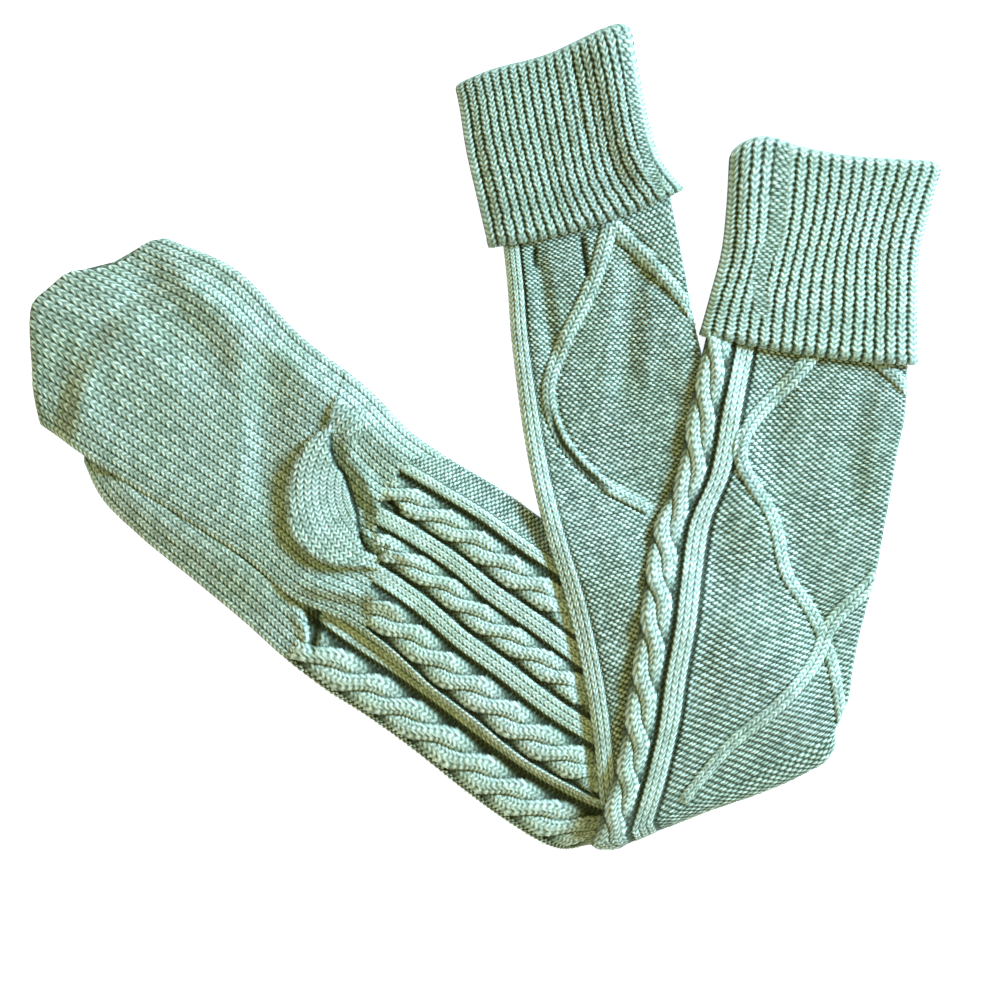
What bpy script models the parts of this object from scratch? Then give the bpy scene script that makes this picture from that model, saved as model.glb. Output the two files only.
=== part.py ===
"""A pair of cable-knit boot socks with turned-down ribbed cuffs.

The two socks lie flat, one on the other, and are folded over together once. Each is a flattened
knitted tube: a foot and lower leg that run out to the fold, and an upper leg that comes back over
them to its cuff. Tables are in millimetres, x to the right and y up the page; objects are in metres.
"""

import math

import bpy
import numpy as np

METRE = 0.001
ORIGIN = (-0.435, -1.831)

SOCK_WIDTH = 124.0
LEG_THICK = 5.0
CUFF_THICK = 11.0
SEAM = 0.3
LAYER_GAP = 0.9
FOLD_SEAM = 0.5
EDGE_ROUND = 5.0
MOUTH_DEPTH = 6.0
MOUTH_HEIGHT = 3.3
MOUTH_REACH = 8.0
RIM_THINNING = 0.85
EDGE_SIDE = 0.35
EDGE_LIFT = 0.12
CUFF_LIFT = 1.2
LIFT_REACH = 2.5
LEAST_RISE = 0.3
RELIEF_FADE = 3.0
RIB_FADE = 2.0
FOLD_END_SHARE = 0.3
FOLD_END_START = 0.25

FOOT_DRAPE = 16.0
LEG_DRAPE = 48.0
TUCK_DRAPE = 20.0
DRAPE_MARGIN = 4.0
QUARTER_TURN = (22.5, 45, 67.5, 90)

# Where the foot ends and the leg begins, along each sock from its toe, and where its cables start.
INNER_ANKLE = 226.0
OUTER_ANKLE = 165.0
INNER_CABLES_FROM = 232.0
OUTER_CABLES_FROM = 150.0
CABLES_FADE_IN = 12.0
INNER_HIDDEN_FROM = 345.0

# Distances between points across and along a face: along cables, on plain knitting, where hidden.
CABLE_STEP = 3.4
EDGE_CABLE_STEP = 3.2
SHIN_STEP = 5.5
PLAIN_STEP = 7.0
HIDDEN_STEP = 16.0
CABLE_ROW = 5.6
EDGE_CABLE_ROW = 6.4
PLAIN_ROW = 9.0
HIDDEN_ROW = 14.0
RIM_STEPS = (0.0, 0.9, 2.6, EDGE_ROUND)
LEAST_LAST_STEP = 0.6
# The cable and column near an edge of the outer sock take this much of its width.
FAR_CABLE_REACH = 48.0
NEAR_CABLE_REACH = 38.0
CUFF_RIM_ROW = 2.0
CUFF_BODY_FROM = 8.0
CUFF_BODY_ROWS = 5
CUFF_MOUTH_ROW = 1.5
OUTLINE_ALONG = 40
OUTLINE_ACROSS = 10

INNER_RIBS = 19
OUTER_RIBS = 18

CABLE_RISE = 2.2
COLUMN_RISE = 1.0
GUTTER_SINK = 0.7
RIB_RISE = 1.1
LINE_RISE = 1.5
LINE_HALF = 2.6
LINE_ROUNDNESS = 0.7
STRAND_SWAY = 0.62
STRAND_CROSSING = 0.7
STRAND_HALF = 0.5
STRAND_SHOWN = 1.25

YARN = (0.31, 0.45, 0.36, 1.0)
YARN_ROUGHNESS = 0.9

# Each row crosses the flattened tube: left edge x, y, right edge x, y, and how far the row bows.
# The inner sock, from its toe out to the fold, with the upper right edge first.
INNER_OUT = (
    (-185.6, 116.3, -258.1, 7.2, -37.5),
    (-147.9, 100.0, -227.4, -14.2, -10.4),
    (-107.3, 59.4, -179.2, -44.4, 0.0),
    (-66.7, 27.5, -136.3, -72.8, 0.0),
    (-44.1, 4.3, -111.9, -93.1, 0.0),
    (-19.1, -13.0, -81.2, -107.0, 0.0),
    (9.9, -30.4, -54.5, -126.7, 0.0),
    (31.9, -46.1, -34.2, -145.9, 0.0),
    (55.1, -61.2, -12.2, -162.7, 0.0),
    (89.9, -84.4, 20.9, -189.4, 0.0),
    (123.5, -109.0, 50.5, -206.2, 0.0),
    (150.0, -131.0, 62.1, -212.0, 0.0),
    (171.0, -150.0, 66.7, -212.6, 0.0),
)
# The inner sock, from the fold back up to its cuff.
INNER_BACK = (
    (66.7, -212.6, 171.0, -150.0, 0.0),
    (62.6, -172.5, 171.0, -122.0, 0.0),
    (56.8, -136.0, 167.0, -95.0, 0.0),
    (47.0, -94.2, 159.5, -68.1, 0.0),
    (37.1, -62.3, 151.4, -40.9, 0.0),
    (29.6, -34.5, 144.4, -13.0, 0.0),
    (22.6, 1.4, 136.9, 18.8, 0.0),
    (17.4, 39.1, 127.0, 46.1, 0.0),
    (15.1, 59.4, 121.2, 69.3, 0.0),
    (13.3, 85.5, 116.6, 96.0, 0.0),
    (10.7, 111.1, 107.9, 140.6, -4.1),
)
# The outer sock, from its toe out to the fold, with the upper right edge first.
OUTER_OUT = (
    (-171.1, 80.9, -233.7, -14.2, -17.4),
    (-152.5, 67.0, -224.5, -33.3, 0.0),
    (-124.7, 43.8, -201.3, -57.1, 0.0),
    (-94.5, 20.6, -169.9, -82.6, 0.0),
    (-65.5, -1.4, -138.6, -108.7, 0.0),
    (-44.7, -18.8, -117.2, -127.9, 0.0),
    (-27.3, -31.6, -92.8, -146.4, 0.0),
    (-4.1, -49.0, -70.2, -160.9, 0.0),
    (26.1, -71.0, -45.8, -178.3, 0.0),
    (60.9, -94.2, -12.8, -204.4, 0.0),
    (98.7, -116.3, 11.0, -221.8, 0.0),
    (144.0, -134.0, 39.4, -238.1, 0.0),
    (200.7, -171.4, 62.1, -236.9, 2.9),
)
# The outer sock, from the fold back up to its cuff.
OUTER_BACK = (
    (62.1, -236.9, 200.7, -171.4, -2.9),
    (68.4, -217.2, 208.8, -152.2, 0.0),
    (73.7, -198.6, 212.3, -136.0, 0.0),
    (78.9, -176.6, 216.3, -117.4, 0.0),
    (82.4, -148.8, 221.0, -98.9, 0.0),
    (87.6, -119.2, 225.6, -81.5, 0.0),
    (92.2, -82.6, 230.3, -56.5, 0.0),
    (97.4, -52.5, 234.9, -31.6, 0.0),
    (110.2, -24.6, 238.4, -10.7, 0.0),
    (118.9, 18.8, 243.0, 14.8, 0.0),
    (128.5, 58.9, 243.6, 41.5, -2.3),
)
# The cuffs, from the rim at the leg up to the turned edge at the mouth.
INNER_CUFF = (
    (5.2, 111.1, 115.4, 145.3, -5.2),
    (-4.6, 138.9, 103.2, 160.9, -2.3),
    (-11.0, 166.8, 95.7, 184.1, 0.0),
    (-15.1, 192.8, 87.6, 213.1, 2.9),
    (-16.2, 205.0, 83.0, 240.0, 5.5),
)
OUTER_CUFF = (
    (124.7, 60.6, 249.4, 42.0, -2.9),
    (131.1, 83.8, 248.8, 76.8, -1.7),
    (137.5, 108.7, 251.1, 104.1, 0.0),
    (140.4, 134.8, 258.1, 130.8, 2.3),
    (142.1, 165.6, 262.7, 154.0, 6.4),
)

# Knitting charts across a face, from its left edge: what is knitted, and how wide it is.
CALF_CHART = (
    ("purl", 16.0),
    ("knit", 7.0),
    ("gutter", 4.0),
    ("cable", 19.0),
    ("gutter", 2.0),
    ("knit", 11.0),
    ("gutter", 2.5),
    ("cable", 17.0),
    ("gutter", 2.5),
    ("knit", 11.5),
    ("gutter", 4.0),
    ("cable", 21.0),
    ("gutter", 2.0),
    ("knit", 4.0),
)
OUTER_CALF_CHART = (
    ("purl", 78.0),
    ("gutter", 2.0),
    ("knit", 12.0),
    ("gutter", 4.0),
    ("cable", 22.0),
    ("purl", 6.0),
)
INNER_SHIN_CHART = (
    ("knit", 11.0),
    ("gutter", 2.0),
    ("purl", 111.0),
)
OUTER_SHIN_CHART = (
    ("cable", 18.0),
    ("gutter", 3.0),
    ("knit", 12.0),
    ("gutter", 3.0),
    ("purl", 100.0),
)
PLAIN_CHART = (("purl", 124.0),)

# Lines that travel over the purl ground, and the folds of the cloth, as points from end to end.
# A fold's height falls to nothing over `left` and `right`, either side of its line.
TRAVEL_LINES = {
    "inner_back": (
        ((71, 117), (61, 86), (44, 51), (37, 28), (41, 7), (67, -25), (100, -44)),
        ((78, 120), (109, 88), (118, 76)),
    ),
    "outer_back": (
        ((187, 44), (148, -10), (168, -48), (176, -81), (188, -98), (200, -125), (208, -170)),
        ((222, -87), (200, -110), (194, -125), (172, -152), (142, -177), (115, -209)),
        ((232, 42), (244, 30)),
    ),
}
FOLDS = {
    "inner_out": (
        {
            "name": "heel cup",
            "height": 4.5,
            "left": 38.0,
            "right": 2.5,
            "line": (
                (-83, 26),
                (-88, 12),
                (-99, 1),
                (-108, -12),
                (-115, -35),
                (-110, -62),
                (-92, -72),
                (-69, -74),
            ),
        },
        {
            "name": "heel pleat",
            "height": -4.0,
            "left": 3.5,
            "right": 3.0,
            "line": ((-89, -12), (-79, -33), (-73, -55), (-60, -68)),
        },
        {
            "name": "ankle lobe",
            "height": 3.0,
            "left": 8.0,
            "right": 6.0,
            "line": ((-77, -19), (-68, -38), (-62, -60)),
        },
        {
            "name": "ankle pinch",
            "height": -3.5,
            "left": 5.0,
            "right": 4.0,
            "line": ((-55, -36), (-46, -46), (-30, -58)),
        },
        {
            "name": "toe crease",
            "height": -1.8,
            "left": 6.0,
            "right": 5.0,
            "line": ((-204, 112), (-202, 102), (-192, 88), (-176, 80)),
        },
    ),
    "inner_back": (
        {
            "name": "shin trough",
            "height": -1.2,
            "left": 12.0,
            "right": 12.0,
            "line": ((88, 100), (84, 60), (84, 28)),
        },
        {
            "name": "cuff pleat",
            "height": -1.5,
            "left": 4.0,
            "right": 4.0,
            "line": ((55, 114), (59, 97)),
        },
    ),
}


def smooth_step(share):
    """Rises from 0 to 1 as share does, level at both ends."""
    share = np.clip(share, 0.0, 1.0)
    return share * share * (3.0 - 2.0 * share)


def curve_through(knots, values, at):
    """Reads a smooth curve through the values, which stand at the knots."""
    knots = np.asarray(knots, float)
    values = np.asarray(values, float)
    at = np.clip(at, knots[0], knots[-1])
    slopes = np.gradient(values, knots, axis=0)
    span = np.clip(np.searchsorted(knots, at, side="right") - 1, 0, len(knots) - 2)
    width = knots[span + 1] - knots[span]
    share = (at - knots[span]) / width
    extra = values.ndim - 1
    share = share.reshape(share.shape + (1,) * extra)
    width = width.reshape(share.shape)
    start, end = values[span], values[span + 1]
    leave, arrive = slopes[span] * width, slopes[span + 1] * width
    return (
        start * (2 * share**3 - 3 * share**2 + 1)
        + leave * (share**3 - 2 * share**2 + share)
        + end * (3 * share**2 - 2 * share**3)
        + arrive * (share**3 - share**2)
    )


def smooth_line(points, per_span=5):
    """Points along a smooth curve through a few given ones."""
    points = np.asarray(points, float)
    steps = np.hypot(*np.diff(points, axis=0).T)
    knots = np.concatenate([[0.0], np.cumsum(steps)])
    places = np.linspace(0.0, knots[-1], per_span * len(steps) + 1)
    return curve_through(knots, points, places)


def beside(line, x, y):
    """Distance of each place from a line, positive on its left, and how far along it lies."""
    nearest = np.full(np.shape(x), 1e9)
    side = np.ones(np.shape(x))
    along = np.zeros(np.shape(x))
    start = 0.0
    for (ax, ay), (bx, by) in zip(line[:-1], line[1:]):
        dx, dy = bx - ax, by - ay
        length = math.hypot(dx, dy)
        share = np.clip(((x - ax) * dx + (y - ay) * dy) / length**2, 0.0, 1.0)
        away_x, away_y = x - ax - share * dx, y - ay - share * dy
        gap = np.hypot(away_x, away_y)
        closer = gap < nearest
        nearest = np.where(closer, gap, nearest)
        side = np.where(closer, np.where(dx * away_y - dy * away_x < 0, -1.0, 1.0), side)
        along = np.where(closer, start + share * length, along)
        start += length
    return nearest * side, along, start


def inside(outline, x, y):
    """Whether each place lies inside a closed outline."""
    odd = np.zeros(np.shape(x), bool)
    for (ax, ay), (bx, by) in zip(outline, np.roll(outline, -1, axis=0)):
        if ay == by:
            continue
        crosses = (ay > y) != (by > y)
        odd ^= crosses & (x < ax + (y - ay) * (bx - ax) / (by - ay))
    return odd


class Strip:
    """A flattened tube of cloth, from a table of rows across it."""

    def __init__(
        self, name, rows, chart=PLAIN_CHART, cable_pitch=25.0, columns_from=0.0, fold_at_end=False
    ):
        self.name = name
        self.rows = np.array(rows, float)
        self.chart = chart
        self.cable_pitch = cable_pitch
        self.columns_from = columns_from
        middle = (self.rows[:, 0:2] + self.rows[:, 2:4]) / 2
        steps = np.hypot(*np.diff(middle, axis=0).T)
        self.knots = np.concatenate([[0.0], np.cumsum(steps)])
        self.length = self.knots[-1]
        self.fold_at = self.length if fold_at_end else 0.0
        along = np.linspace(0.0, self.length, OUTLINE_ALONG)
        across = np.linspace(0.0, 1.0, OUTLINE_ACROSS + 2)[1:-1]
        left = self.place(along, np.zeros(OUTLINE_ALONG))
        far = self.place(np.full(OUTLINE_ACROSS, self.length), across)
        right = self.place(along[::-1], np.ones(OUTLINE_ALONG))
        near = self.place(np.zeros(OUTLINE_ACROSS), across[::-1])
        self.outline = np.concatenate([left, far, right, near], axis=1).T

    def width(self, along):
        row = curve_through(self.knots, self.rows, along)
        return np.hypot(row[..., 2] - row[..., 0], row[..., 3] - row[..., 1])

    def place(self, along, across):
        """The x and y of a place: `along` in millimetres, `across` from 0 to 1."""
        row = curve_through(self.knots, self.rows, along)
        run = row[..., 2:4] - row[..., 0:2]
        swell = row[..., 4] * 4 * across * (1 - across) / np.hypot(run[..., 0], run[..., 1])
        x = row[..., 0] + run[..., 0] * across - run[..., 1] * swell
        y = row[..., 1] + run[..., 1] * across + run[..., 0] * swell
        return x, y

    def cover(self, x, y, drape):
        """1 where this strip lies, falling to 0 over `drape` beyond it."""
        closed = np.vstack([self.outline, self.outline[:1]])
        gap = np.abs(beside(closed, x, y)[0])
        gap = np.where(inside(self.outline, x, y), 0.0, gap)
        return smooth_step(1.0 - (gap - DRAPE_MARGIN) / drape)


inner_out = Strip("inner_out", INNER_OUT, CALF_CHART, 23.0, INNER_CABLES_FROM, fold_at_end=True)
inner_back = Strip("inner_back", INNER_BACK, INNER_SHIN_CHART)
outer_out = Strip("outer_out", OUTER_OUT, OUTER_CALF_CHART, 27.0, OUTER_CABLES_FROM, fold_at_end=True)
outer_back = Strip("outer_back", OUTER_BACK, OUTER_SHIN_CHART, 24.0)
inner_cuff = Strip("inner_cuff", INNER_CUFF)
outer_cuff = Strip("outer_cuff", OUTER_CUFF)


def base_height(strip, x, y):
    """How high a strip lies, on the strips beneath it."""
    layer = LEG_THICK + LAYER_GAP
    if strip is inner_out:
        return layer * outer_out.cover(x, y, FOOT_DRAPE)
    if strip is inner_back:
        return layer * (outer_out.cover(x, y, LEG_DRAPE) + inner_out.cover(x, y, LEG_DRAPE))
    if strip is outer_back:
        band = outer_out.cover(x, y, LEG_DRAPE) + inner_out.cover(x, y, LEG_DRAPE)
        return layer * (band + inner_back.cover(x, y, TUCK_DRAPE))
    return np.zeros(np.shape(x))


def hidden(strip, x, y):
    """1 where another strip covers this one, so its columns are pressed flat."""
    over = np.zeros(np.shape(x))
    above = {
        "inner_out": (inner_back, outer_back),
        "inner_back": (outer_back,),
        "outer_out": (inner_out, inner_back, outer_back),
    }
    for other in above.get(strip.name, ()):
        over = np.maximum(over, other.cover(x, y, 1.5 * DRAPE_MARGIN))
    return over


def fold_height(strip, x, y):
    """Height of the axis that a strip turns over about, halfway between its two runs."""
    if strip in (inner_out, inner_back):
        return (base_height(inner_out, x, y) + LEG_THICK + base_height(inner_back, x, y)) / 2
    return (LEG_THICK + base_height(outer_back, x, y)) / 2


def rope(turns, across):
    """Height of a cable of two strands that always cross the same way, across from -1 to 1."""
    height = np.zeros(np.shape(turns))
    for strand in (-1, 0, 1):
        phase = turns - np.floor(turns) - strand - 0.5
        middle = -STRAND_SWAY * np.sin(np.clip(phase / STRAND_CROSSING, -1, 1) * math.pi / 2)
        dome = np.sqrt(np.clip(1.0 - ((across - middle) / STRAND_HALF) ** 2, 0, 1))
        height = np.maximum(height, dome * np.clip(STRAND_SHOWN - np.abs(phase), 0, 1))
    return height


def chart_relief(strip, along, across):
    """Height of a face's knitted columns and cables above its purl ground."""
    place = across * sum(width for _, width in strip.chart)
    height = np.zeros(np.shape(place))
    start = 0.0
    for kind, width in strip.chart:
        centred = (place - start) / width * 2 - 1
        within = np.abs(centred) < 1
        bulge = np.sqrt(np.clip(1 - centred**4, 0, 1))
        if kind == "knit":
            height = np.where(within, COLUMN_RISE * bulge, height)
        elif kind == "gutter":
            height = np.where(within, -GUTTER_SINK * bulge, height)
        elif kind == "cable":
            height = np.where(within, CABLE_RISE * rope(along / strip.cable_pitch, centred), height)
        start += width
    shown = smooth_step((along - strip.columns_from) / CABLES_FADE_IN) if strip.columns_from else 1.0
    return height * shown


def line_relief(strip, x, y):
    """Height of the lines that travel over the purl ground."""
    height = np.zeros(np.shape(x))
    for points in TRAVEL_LINES.get(strip.name, ()):
        gap, _, _ = beside(smooth_line(points), x, y)
        ridge = np.clip(1 - (gap / LINE_HALF) ** 2, 0, 1)
        height = np.maximum(height, LINE_RISE * ridge**LINE_ROUNDNESS)
    return height


def fold_relief(strip, x, y):
    """Height of the strip's folds and creases."""
    height = np.zeros(np.shape(x))
    for fold in FOLDS.get(strip.name, ()):
        gap, along, length = beside(smooth_line(fold["line"]), x, y)
        reach = np.where(gap > 0, gap / fold["left"], -gap / fold["right"])
        from_end = np.minimum(along, length - along) / length
        ends = smooth_step(from_end / FOLD_END_SHARE + FOLD_END_START)
        height = height + fold["height"] * smooth_step(1 - reach) * ends
    return height


def edge_rise(gap, thick):
    """Height of a tube's upper face at a distance in from its rounded edge."""
    share = np.clip(gap / EDGE_ROUND, 0, 1)
    return thick * (EDGE_SIDE + (1 - EDGE_SIDE) * np.sqrt(1 - (1 - share) ** 2))


def upper_face(strip, along, across):
    """x, y and height of the outer points of a strip's upper face."""
    x, y = strip.place(along, across)
    gap = np.minimum(across, 1 - across) * strip.width(along)
    relief = chart_relief(strip, along, across) + line_relief(strip, x, y) + fold_relief(strip, x, y)
    relief = relief * smooth_step(gap / RELIEF_FADE) * (1 - hidden(strip, x, y))
    height = np.maximum(edge_rise(gap, LEG_THICK) + relief, LEAST_RISE * LEG_THICK)
    return x, y, base_height(strip, x, y) + height


def under_face(strip, along, across):
    """x, y and height of a strip's plain lower face, a little rounded at its edges."""
    x, y = strip.place(along, across)
    gap = np.minimum(across, 1 - across) * strip.width(along)
    lift = EDGE_LIFT * LEG_THICK * (1 - smooth_step(gap / LIFT_REACH))
    return x, y, base_height(strip, x, y) + lift


def cross_rows(strip, station, across, under, toe_rise=1.0):
    """The upper and the lower row of points across a strip."""
    x, y, z = upper_face(strip, np.full(len(across), station), across)
    base = base_height(strip, x, y)
    return (x, y, base + (z - base) * toe_rise), under_face(strip, np.full(len(under), station), under)


def turned_over(strip, row, degrees):
    """Rolls a row at the strip's fold by some degrees about the fold's own axis."""
    x, y, height = row
    ends_x, ends_y = strip.place(np.full(2, strip.fold_at), np.array([0.0, 1.0]))
    run = np.array([ends_x[1] - ends_x[0], ends_y[1] - ends_y[0]])
    out = np.array([run[1], -run[0]]) / np.hypot(*run)
    if out[1] > 0:
        out = -out
    axis = fold_height(strip, x, y)
    radius = np.abs(height - axis)
    side = np.where(height > axis, 1.0, -1.0)
    reach = radius * math.sin(math.radians(degrees))
    rise = np.maximum(radius * math.cos(math.radians(degrees)), FOLD_SEAM / 2)
    return x + out[0] * reach, y + out[1] * reach, axis + side * rise


def places_across(width, step, fine_from=0.0, fine_to=0.0, fine=0.0):
    """Places from 0 to 1 across a face, close together at both edges and in one fine stretch."""
    inner = []
    here = EDGE_ROUND
    while here < width - EDGE_ROUND:
        inner.append(here)
        here += fine if fine_from <= here < fine_to else step
    if width - EDGE_ROUND - inner[-1] < LEAST_LAST_STEP * step:
        inner.pop()
    rim = np.array(RIM_STEPS)
    return np.concatenate([rim, inner[1:], width - rim[::-1]]) / width


def places_along(start, end, step, toe=False):
    """Places along a strip, close together at a toe."""
    places = list(np.linspace(start, end, max(2, round((end - start) / step) + 1)))
    return [start + rim for rim in RIM_STEPS] + places[1:] if toe else places


class Shell:
    """Points and faces of one closed solid, built row by row."""

    def __init__(self):
        self.points = []
        self.faces = []

    def row(self, x, y, z):
        """Adds a row of points and returns their numbers."""
        first = len(self.points)
        self.points += list(zip(x, y, z))
        return list(range(first, len(self.points)))

    def skin(self, rows):
        """Faces between each row and the next."""
        for one, two in zip(rows[:-1], rows[1:]):
            for a, b, c, d in zip(one[:-1], one[1:], two[1:], two[:-1]):
                self.faces.append((a, b, c, d))

    def zip_up(self, one, one_at, two, two_at):
        """Triangles between two rows with different numbers of points."""
        i = j = 0
        while i < len(one) - 1 or j < len(two) - 1:
            if i < len(one) - 1 and (j == len(two) - 1 or one_at[i + 1] <= two_at[j + 1]):
                self.faces.append((one[i], one[i + 1], two[j]))
                i += 1
            else:
                self.faces.append((one[i], two[j + 1], two[j]))
                j += 1

    def close_sides(self, top, bottom):
        """Faces down both edges, between the upper and the lower rows."""
        self.skin([[low[0], high[0]] for high, low in zip(top, bottom)])
        self.skin([[high[-1], low[-1]] for high, low in zip(top, bottom)])

    def solid(self, name):
        """Makes a named object of the points and faces, in its own yarn."""
        points = (np.array(self.points) - [ORIGIN[0], ORIGIN[1], 0.0]) * METRE
        mesh = bpy.data.meshes.new(name)
        mesh.from_pydata([tuple(point) for point in points], [], self.faces)
        mesh.shade_smooth()
        yarn = bpy.data.materials.new(name + "_yarn")
        yarn.use_nodes = True
        surface = yarn.node_tree.nodes["Principled BSDF"]
        surface.inputs["Base Color"].default_value = YARN
        surface.inputs["Roughness"].default_value = YARN_ROUGHNESS
        mesh.materials.append(yarn)
        item = bpy.data.objects.new(name, mesh)
        bpy.context.scene.collection.objects.link(item)


def tube_solid(name, strip, stations, across, under, toe=False):
    """One closed solid of a flattened tube. At its fold it turns over by a quarter turn."""
    rows = []
    for station in stations:
        toe_rise = float(edge_rise(station, 1.0)) if toe else 1.0
        rows.append(cross_rows(strip, station, across, under, toe_rise))
    turned = []
    for degrees in QUARTER_TURN:
        fold_rows = cross_rows(strip, strip.fold_at, across, under)
        turned.append([turned_over(strip, row, degrees) for row in fold_rows])
    if stations[-1] == strip.fold_at:
        rows = rows + turned
    elif stations[0] == strip.fold_at and not toe:
        rows = turned[::-1] + rows
    shell = Shell()
    top = [shell.row(*upper) for upper, _ in rows]
    bottom = [shell.row(*lower) for _, lower in rows]
    shell.skin(top)
    shell.skin([row[::-1] for row in bottom])
    shell.close_sides(top, bottom)
    shell.zip_up(bottom[0], under, top[0], across)
    shell.zip_up(top[-1], across, bottom[-1], under)
    shell.solid(name)


def cuff_solid(name, strip, ribs):
    """A turned-down cuff: ribbed above, flat beneath, and parted along its mouth."""
    width = float(strip.width(strip.length / 2))
    end = strip.length
    across = np.linspace(0.0, 1.0, 2 * ribs + 1)
    under = places_across(width, HIDDEN_STEP)
    gap = np.minimum(across, 1 - across) * width
    under_gap = np.minimum(under, 1 - under) * width
    waves = 0.5 - 0.5 * np.cos(2 * math.pi * ribs * across)
    ribbing = RIB_RISE * waves * smooth_step(gap / RIB_FADE)
    body = np.linspace(CUFF_BODY_FROM, end - EDGE_ROUND, CUFF_BODY_ROWS)
    shell = Shell()
    top, bottom = [], []
    for station in [0.0, CUFF_RIM_ROW, *body, end - CUFF_MOUTH_ROW, end]:
        rounding = float(edge_rise(end - station, 1.0)) * (RIM_THINNING if station == 0.0 else 1.0)
        height = (edge_rise(gap, CUFF_THICK) + ribbing) * rounding
        top.append(shell.row(*strip.place(np.full(len(across), station), across), height))
        side_lift = 1 - smooth_step(under_gap / LIFT_REACH)
        mouth_lift = float(smooth_step((station - end + LIFT_REACH) / LIFT_REACH))
        lift = CUFF_LIFT * (side_lift + mouth_lift)
        bottom.append(shell.row(*strip.place(np.full(len(under), station), under), lift))
    depth = MOUTH_DEPTH * smooth_step(under_gap / MOUTH_REACH)
    mouth = shell.row(*strip.place(end - depth, under), np.full(len(under), MOUTH_HEIGHT))
    shell.skin(top)
    shell.skin([row[::-1] for row in bottom])
    shell.close_sides(top, bottom)
    shell.zip_up(bottom[0], under, top[0], across)
    shell.zip_up(top[-1], across, mouth, under)
    shell.zip_up(mouth, under, bottom[-1], under)
    shell.faces.append((bottom[-1][0], top[-1][0], mouth[0]))
    shell.faces.append((top[-1][-1], bottom[-1][-1], mouth[-1]))
    shell.solid(name)


def clear_scene():
    for item in list(bpy.data.objects):
        bpy.data.objects.remove(item, do_unlink=True)


def build_inner_sock():
    """The sock whose foot lies on top and whose leg is folded inside the other's."""
    even = places_across(SOCK_WIDTH, PLAIN_STEP)
    cables = places_across(SOCK_WIDTH, CABLE_STEP)
    shin = places_across(SOCK_WIDTH, SHIN_STEP)
    under = places_across(SOCK_WIDTH, HIDDEN_STEP)
    foot = places_along(0.0, INNER_ANKLE - SEAM / 2, PLAIN_ROW, toe=True)
    bared = places_along(INNER_ANKLE + SEAM / 2, INNER_HIDDEN_FROM, CABLE_ROW)
    covered = places_along(INNER_HIDDEN_FROM + PLAIN_ROW, inner_out.length, PLAIN_ROW)
    back = places_along(0.0, inner_back.length - SEAM, PLAIN_ROW)
    tube_solid("sock_a_foot", inner_out, foot, even, under, toe=True)
    tube_solid("sock_a_lower_leg", inner_out, bared + covered, cables, under)
    tube_solid("sock_a_upper_leg", inner_back, back, shin, under)
    cuff_solid("sock_a_cuff", inner_cuff, INNER_RIBS)


def build_outer_sock():
    """The sock whose foot lies beneath and whose leg wraps over the other's."""
    under = places_across(SOCK_WIDTH, HIDDEN_STEP)
    far_from = SOCK_WIDTH - FAR_CABLE_REACH
    far_edge = places_across(SOCK_WIDTH, HIDDEN_STEP, far_from, SOCK_WIDTH, EDGE_CABLE_STEP)
    near_edge = places_across(SOCK_WIDTH, PLAIN_STEP, 0.0, NEAR_CABLE_REACH, EDGE_CABLE_STEP)
    foot = places_along(0.0, OUTER_ANKLE - SEAM / 2, HIDDEN_ROW, toe=True)
    out = places_along(OUTER_ANKLE + SEAM / 2, outer_out.length, EDGE_CABLE_ROW)
    back = places_along(0.0, outer_back.length - SEAM, EDGE_CABLE_ROW)
    tube_solid("sock_b_foot", outer_out, foot, under, under, toe=True)
    tube_solid("sock_b_lower_leg", outer_out, out, far_edge, under)
    tube_solid("sock_b_upper_leg", outer_back, back, near_edge, under)
    cuff_solid("sock_b_cuff", outer_cuff, OUTER_RIBS)


clear_scene()
build_inner_sock()
build_outer_sock()
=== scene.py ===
"""Looks of a folded pair of cable-knit boot socks: each shown stitch is modelled on the lying cloth."""

import math

import bpy
import numpy as np
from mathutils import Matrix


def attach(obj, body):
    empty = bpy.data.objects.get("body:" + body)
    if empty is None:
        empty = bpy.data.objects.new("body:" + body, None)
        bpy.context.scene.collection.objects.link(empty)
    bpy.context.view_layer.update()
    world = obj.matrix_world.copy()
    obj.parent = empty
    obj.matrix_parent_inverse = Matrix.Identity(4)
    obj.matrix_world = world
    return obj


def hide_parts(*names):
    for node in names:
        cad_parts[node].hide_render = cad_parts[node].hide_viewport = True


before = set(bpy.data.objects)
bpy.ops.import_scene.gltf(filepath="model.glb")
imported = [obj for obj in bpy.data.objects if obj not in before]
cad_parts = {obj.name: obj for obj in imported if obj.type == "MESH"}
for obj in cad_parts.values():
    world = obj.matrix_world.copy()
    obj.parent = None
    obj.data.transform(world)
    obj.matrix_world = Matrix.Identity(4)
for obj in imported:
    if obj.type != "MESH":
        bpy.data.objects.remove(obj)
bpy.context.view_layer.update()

# Lengths are in millimetres on the surface that the pair lies on, where ORIGIN is the frame's origin.
METRE = 0.001
ORIGIN = (-0.435, -1.831)
LEG_THICK = 5.0
CUFF_THICK = 11.0
LAYER_GAP = 0.9
EDGE_ROUND = 5.0
# How a tube's thickness is made up: its rounded edge's foot, the round itself, and a slow crown.
EDGE_FOOT = 0.33
EDGE_SWELL = 0.45
CROWN_SHARE = 0.22
CROWN_REACH = 17.0
LEAST_SHARE = 0.3
UNDER_LIFT = 0.12
# How far cloth takes to come down from what it lies on.
FOOT_DRAPE = 16.0
LEG_DRAPE = 48.0
TUCK_DRAPE = 20.0
DRAPE_MARGIN = 4.0
PRESS_DRAPE = 1.5 * DRAPE_MARGIN
INNER_ANKLE = 226.0
OUTER_ANKLE = 165.0
OUTER_CABLES_FROM = 160.0
CABLES_FADE_IN = 8.0
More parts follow.
